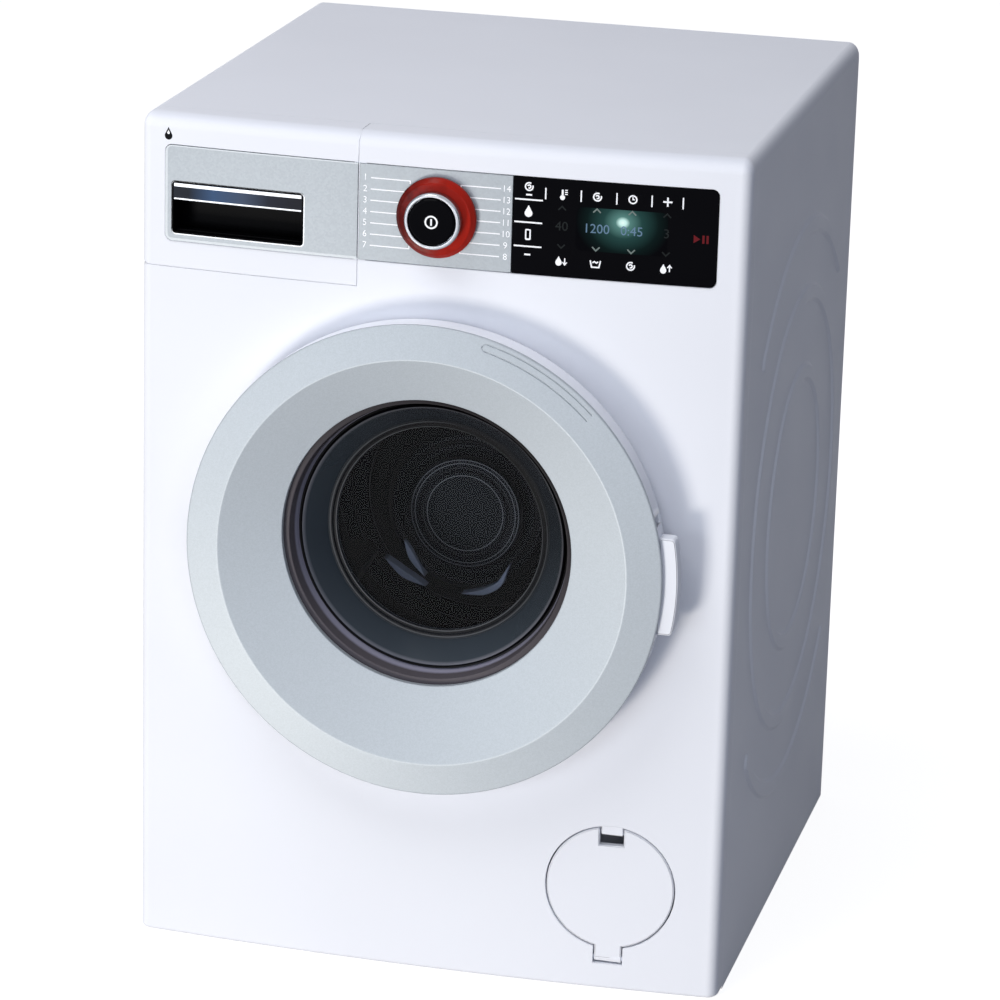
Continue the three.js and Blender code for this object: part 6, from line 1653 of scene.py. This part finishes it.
def drop_outline(x, z, size):
    """A water drop with its tip up."""
    low, radius = DROP_BELLY_SHARES
    belly = arc(x, z + size * low, size * radius, *DROP_BELLY_DEGREES, DROP_STEPS)
    return np.concatenate([belly, [[x, z + size * DROP_TIP_SHARE]]])


def letters(words, x, z, height, proud):
    """Digits as thin solids on the bowed front, centred on a place."""
    curve = bpy.data.curves.new("letters", "FONT")
    curve.body = words
    curve.align_x = "CENTER"
    curve.align_y = "CENTER"
    curve.size = height / DIGIT_SHARE
    curve.extrude = PRINT_DEPTH / 2
    curve.resolution_u = DIGIT_STEPS
    holder = bpy.data.objects.new("letters", curve)
    mesh = holder.to_mesh()
    flat = np.array([vertex.co[:] for vertex in mesh.vertices])
    place = front_surface(proud)
    where = flat[:, :2] + [x, z]
    points = place(where) + surface_normals(place, where) * (flat[:, 2:3] - PRINT_DEPTH / 2)
    result = Body()
    result.corners = list(points)
    for polygon in mesh.polygons:
        face = list(polygon.vertices)
        normal = np.cross(points[face[1]] - points[face[0]], points[face[2]] - points[face[0]])
        result.faces.append(face)
        result.normals.append([normal] * len(face))
    holder.to_mesh_clear()
    bpy.data.objects.remove(holder)
    bpy.data.curves.remove(curve)
    return result


def add_prints(name, outlines, material, body, proud=PLATE_PROUD + PRINT_HEIGHT, words=()):
    mesh = Body()
    for outline in outlines:
        shape, holes = outline if isinstance(outline, tuple) else (outline, ())
        mesh.merge(print_on(front_surface(proud), divided(shape, GRID / 2), holes))
    for word, x, z, height in words:
        mesh.merge(letters(word, x, z, height, proud))
    add_piece(name, mesh, material, body, smooth=False)


def legend():
    """Seven leader lines on each side of the knob, each with a plain number at its outer end."""
    lines, words = [], []
    for k, near_share in enumerate(LEGEND_NEAR_SHARES):
        z = LEGEND_TOP - k * LEGEND_PITCH
        for side, (left, right) in ((-1, LEGEND_LEFT), (1, LEGEND_RIGHT)):
            near, far = (right, left) if side < 0 else (left, right)
            near -= side * near_share * LEGEND_REACH
            start = far - side * LEGEND_INDENT
            path = [(start, z), (near, z)]
            if near_share == 1:
                path.append((near, z - TICK_LENGTH if k == 0 else z + TICK_LENGTH))
            lines.append(stroke(path, LINE_WIDTH))
            number = k + 1 if side < 0 else 2 * LEGEND_COUNT - k
            words.append((str(number), far - side * LEGEND_DIGIT / 2, z, LEGEND_DIGIT))
    add_prints("legend", turned_right(lines), print_white, "cabinet", words=words)


def area(outline):
    after = np.roll(outline, -1, axis=0)
    return np.sum(outline[:, 0] * after[:, 1] - after[:, 0] * outline[:, 1]) / 2


def turned_right(shapes):
    """Outlines put in counter-clockwise order."""
    return [shape if isinstance(shape, tuple) or area(shape) > 0 else shape[::-1] for shape in shapes]


def chevron(x, z, up):
    half, rise = CHEVRON_WIDTH / 2, CHEVRON_RISE * up / 2
    return stroke([(x - half, z - rise), (x, z + rise), (x + half, z - rise)], CHEVRON_LINE)


def thermometer(x, z):
    left, right, bottom, top = (share * ICON_UNIT for share in STEM_SHARES)
    stem = rounded_box(
        x + left, x + right, z + bottom, z + top, [0, 0, STEM_CORNER, STEM_CORNER], BLOCK_CORNER_STEPS)
    low, radius = (share * ICON_UNIT for share in BULB_SHARES)
    return [stem, circle(x, z + low, radius, BULB_SIDES)] + [icon_box(mark, x, z) for mark in MARK_SHARES]


def spiral(x, z):
    """A turn of line with a smaller one inside it."""
    radii = (ICON_SIZE - ICON_LINE / 2, ICON_SIZE / 2 - ICON_LINE / 2)
    return [
        stroke(arc(x, z, radius, start, end, steps), ICON_LINE)
        for radius, (start, end, steps) in zip(radii, SPIRAL_TURNS)]


def clock(x, z):
    hands = stroke(icon_path(HAND_SHARES, x, z), ICON_LINE * HAND_LINE_SHARE)
    return [ring_outlines(x, z, ICON_SIZE, ICON_LINE), hands]


def plus(x, z):
    across = stroke([(x - ICON_SIZE, z), (x + ICON_SIZE, z)], ICON_LINE * PLUS_LINE_SHARE)
    upper = upright_box(x - PLUS_HALF, x + PLUS_HALF, z + PLUS_GAP, z + ICON_SIZE)
    lower = upright_box(x - PLUS_HALF, x + PLUS_HALF, z - ICON_SIZE, z - PLUS_GAP)
    return [across, upper, lower]


def basin(x, z):
    """A tub with a wave of water in it."""
    return [stroke(icon_path(shares, x, z), ICON_LINE) for shares in (TUB_SHARES, WAVE_SHARES)]


def drop_with_arrow(x, z, up):
    """A drop beside an arrow that points down for filling and up for draining."""
    head = stroke(icon_path([(across, rise * up) for across, rise in ARROW_HEAD_SHARES], x, z), ARROW_LINE)
    return [
        drop_outline(x + ARROW_DROP_ACROSS, z, ARROW_DROP_SIZE), icon_box(ARROW_STEM_SHARES, x, z), head]


def side_symbols(x):
    """The four programme switches in the display's left column."""
    case = rounded_box(x - PHONE_HALF, x + PHONE_HALF, *PHONE_RANGE, [PHONE_CORNER] * 4, BLOCK_CORNER_STEPS)
    screen = rounded_box(
        x - SCREEN_HALF, x + SCREEN_HALF, *SCREEN_RANGE, [SCREEN_CORNER] * 4, LINE_CORNER_STEPS)
    dashes = [
        upright_box(x - SWITCH_DASH_HALF, x + SWITCH_DASH_HALF, z, z + SWITCH_DASH_HEIGHT)
        for z in SWITCH_DASHES]
    drop = drop_outline(x, SWITCH_DROP_Z, SWITCH_DROP_SIZE)
    return spiral(x, SWITCH_SPIRAL_Z) + [drop, (case, [screen])] + dashes


def display_prints():
    """Everything on the display: rules, switches, headings, symbols, the teal glow and the readings over it."""
    rules = [upright_box(*RULE_COLUMN, z - RULE_WIDTH / 2, z + RULE_WIDTH / 2) for z in RULE_HEIGHTS]
    tabs = [upright_box(x - TAB_WIDTH / 2, x + TAB_WIDTH / 2, *TAB_RANGE) for x in TAB_PLACES]
    symbols = side_symbols(sum(RULE_COLUMN) / 2)
    for x, heading in zip(COLUMN_PLACES, (thermometer, spiral, clock, plus)):
        symbols.extend(heading(x, HEADING_HEIGHT))
    symbols.extend(drop_with_arrow(COLUMN_PLACES[0], ICON_HEIGHT, -1))
    symbols.extend(basin(COLUMN_PLACES[1], ICON_HEIGHT))
    symbols.extend(spiral(COLUMN_PLACES[2], ICON_HEIGHT))
    symbols.extend(drop_with_arrow(COLUMN_PLACES[3], ICON_HEIGHT, 1))
    add_prints(
        "display_symbols", turned_right(rules + tabs + symbols), print_white, "cabinet")
    window = rounded_box(*GLOW_RANGE, [GLOW_CORNER] * 4)
    glow = print_on(front_surface(PLATE_PROUD + PRINT_HEIGHT), divided(window, GRID), (), GRID)
    add_piece("display_glow", glow, glow_teal, "cabinet", smooth=False)
    higher = PLATE_PROUD + 2 * PRINT_HEIGHT
    for name, places, lit, arrow_lit in (
            ("bright", (1, 2), glow_blue, glow_pale), ("dim", (0, 3), glow_faint, glow_faint)):
        columns = [COLUMN_PLACES[k] for k in places]
        arrows = [chevron(x, z, up) for x in columns for z, up in zip(CHEVRON_HEIGHTS, (1, -1))]
        add_prints(f"{name}_arrows", turned_right(arrows), arrow_lit, "cabinet", higher)
        readings = [(READINGS[k], COLUMN_PLACES[k], READING_HEIGHT, READING_SIZE) for k in places]
        add_prints(f"{name}_readings", [], lit, "cabinet", higher, readings)
    add_prints("start_symbol", turned_right(play_symbol(*PLAY_PLACE)), glow_red, "cabinet")


def play_symbol(x, z):
    """A triangle and two bars: start and pause."""
    size = PLAY_SIZE
    left, tip = PLAY_TRIANGLE_SHARES
    triangle = np.array([[x + size * left, z - size], [x + size * tip, z], [x + size * left, z + size]])
    bars = [upright_box(x + size * near, x + size * far, z - size, z + size) for near, far in PLAY_BAR_SHARES]
    return [triangle] + bars


def drop_mark():
    """The black drop above the drawer's plate, with a small white one in it."""
    across, up = DROP_PLACE
    light_up, light_size = up + DROP_SIZE * DROP_LIGHT_RISE_SHARE, DROP_SIZE * DROP_LIGHT_SHARE
    for name, z, size, height, material, slot in (
            ("drop_mark", up, DROP_SIZE, PRINT_HEIGHT, print_black, "black_plastic"),
            ("drop_mark_light", light_up, light_size, 2 * PRINT_HEIGHT, print_white, "white_plastic")):
        drop = turned_right([drop_outline(across, z, size)])[0]
        mesh = print_on(raised(wrapped_front, height), divided(drop, DROP_SPACING))
        add_piece(name, mesh, material, "drawer", smooth=False)


def raised(place, height):
    """The same surface, raised by a little."""
    def higher(points):
        return place(points) + surface_normals(place, points) * height
    return higher


def power_symbol():
    """A ring with an upright bar in it."""
    place = level(BUTTON_LOW[1] - PRINT_HEIGHT)
    mesh = print_on(place, *ring_outlines(0, DIAL_Z, POWER_RADIUS, POWER_LINE, SMALL_SIDES))
    half, reach = POWER_LINE / 2, POWER_RADIUS / 2
    mesh.merge(print_on(place, upright_box(-half, half, DIAL_Z - reach, DIAL_Z + reach)))
    add_piece("power_symbol", mesh, print_white, "power_button", smooth=False)


# Stage
CAMERA_PLACE = (316.84, -1299.2, 546.88)
CAMERA_YAW = -0.239
CAMERA_PITCH = 0.305
CAMERA_ROLL = 0.028
CAMERA_LENS = 158.45
SENSOR_WIDTH = 36.0
FLOOR_SIZE = 30000.0
FLOOR_COLOR = (0.5, 0.5, 0.5)
FLOOR_GLOW = 0.85
FLOOR_DARK = (0.22, 0.22, 0.24)
AMBIENT_COLOR = (0.82, 0.86, 1.0)
AMBIENT_STRENGTH = 0.24

# Lamps: name, place, height aimed at, size, power and colour. The low one shines up through the floor
LAMPS = (
    ("key", (0, -1500, 520), 140, 800, 1.4, (0.76, 0.82, 1.0)),
    ("right", (760, -1450, 380), 140, 600, 3.4, (0.80, 0.88, 1.0)),
    ("left", (-640, -1340, 200), 130, 520, 3.6, (0.85, 0.92, 1.0)),
    ("top", (-350, -480, 1300), 200, 700, 9.4, (1, 1, 1)),
    ("low", (-680, -1400, -610), 130, 420, 16.6, (1.0, 0.95, 0.86)),
)


def camera():
    ahead = Vector((
        math.sin(CAMERA_YAW) * math.cos(CAMERA_PITCH),
        math.cos(CAMERA_YAW) * math.cos(CAMERA_PITCH), -math.sin(CAMERA_PITCH)))
    right = ahead.cross(Vector((0, 0, 1))).normalized()
    up = right.cross(ahead)
    cosine, sine = math.cos(CAMERA_ROLL), math.sin(CAMERA_ROLL)
    tilted_right = right * cosine + up * sine
    tilted_up = up * cosine - right * sine
    data = bpy.data.cameras.new("camera")
    data.sensor_width = SENSOR_WIDTH
    data.lens = CAMERA_LENS
    data.clip_end = FLOOR_SIZE * MM
    viewer = bpy.data.objects.new("camera", data)
    turn = Matrix((tilted_right, tilted_up, -ahead)).transposed()
    viewer.matrix_world = Matrix.Translation(Vector(CAMERA_PLACE) * MM) @ turn.to_4x4()
    bpy.context.scene.collection.objects.link(viewer)
    bpy.context.scene.camera = viewer


def lamp(name, place, aim, size, power, color):
    """A square lamp aimed at a height above the frame's origin."""
    data = bpy.data.lights.new(name, "AREA")
    data.shape = "SQUARE"
    data.size = size * MM
    data.energy = power
    data.color = color
    light = bpy.data.objects.new(name, data)
    light.location = Vector(place) * MM
    light.rotation_euler = (Vector((0, 0, aim)) - Vector(place)).to_track_quat("-Z", "Y").to_euler()
    light.visible_camera = False
    bpy.context.scene.collection.objects.link(light)


def lens_share(tree):
    """One for camera, mirror and glass rays, zero for the rays that light the object."""
    path = tree.nodes.new("ShaderNodeLightPath")
    share = path.outputs["Is Camera Ray"]
    for name in ("Is Glossy Ray", "Is Transmission Ray"):
        share = add_node(tree, "Math", {0: share, 1: path.outputs[name]}, "MAXIMUM").outputs["Value"]
    return share


def world():
    """White to the lens, and a dim blue light on the object."""
    studio = bpy.data.worlds.new("studio")
    studio.use_nodes = True
    tree = studio.node_tree
    ambient = tree.nodes["Background"]
    ambient.inputs["Color"].default_value = (*AMBIENT_COLOR, 1)
    ambient.inputs["Strength"].default_value = AMBIENT_STRENGTH
    seen = add_node(tree, "Background", {"Color": (1, 1, 1, 1), "Strength": 1.0})
    mix = add_node(tree, "MixShader", {
        "Fac": lens_share(tree), 1: ambient.outputs["Background"], 2: seen.outputs["Background"]})
    tree.links.new(mix.outputs["Shader"], tree.nodes["World Output"].inputs["Surface"])
    bpy.context.scene.world = studio


def floor():
    """White to the lens, with the object's shadow on it, and darker to the rays that light the object."""
    half = FLOOR_SIZE / 2 * MM
    mesh = bpy.data.meshes.new("floor")
    corners = [(-half, -half, 0), (half, -half, 0), (half, half, 0), (-half, half, 0)]
    mesh.from_pydata(corners, [], [(0, 1, 2, 3)])
    ground = bpy.data.objects.new("floor", mesh)
    bpy.context.scene.collection.objects.link(ground)
    material, tree, shader = new_material("floor", FLOOR_COLOR, 0.9)
    dark = add_node(tree, "BsdfDiffuse", {"Color": (*FLOOR_DARK, 1)})
    glow = add_node(tree, "Emission", {"Strength": FLOOR_GLOW})
    seen = add_node(tree, "AddShader", {0: shader.outputs["BSDF"], 1: glow.outputs["Emission"]})
    mix = add_node(tree, "MixShader", {
        "Fac": lens_share(tree), 1: dark.outputs["BSDF"], 2: seen.outputs["Shader"]})
    tree.links.new(mix.outputs["Shader"], tree.nodes["Material Output"].inputs["Surface"])
    mesh.materials.append(material)
    ground.visible_shadow = False


camera()
dress_nodes()
legend()
display_prints()
drop_mark()
power_symbol()
front_panel()
cabinet_shell()
door_ring()
notch_backing()
door_rim()
door_window()
door_seal()
drum_shell()
drum_back()
fascia_plates()
drawer_front()
grip_cup()
grip_bar()
drawer_plate_frame()
knob()
service_flap()
world()
floor()
for row in LAMPS:
    lamp(*row)

bpy.context.scene.view_settings.view_transform = "Standard"
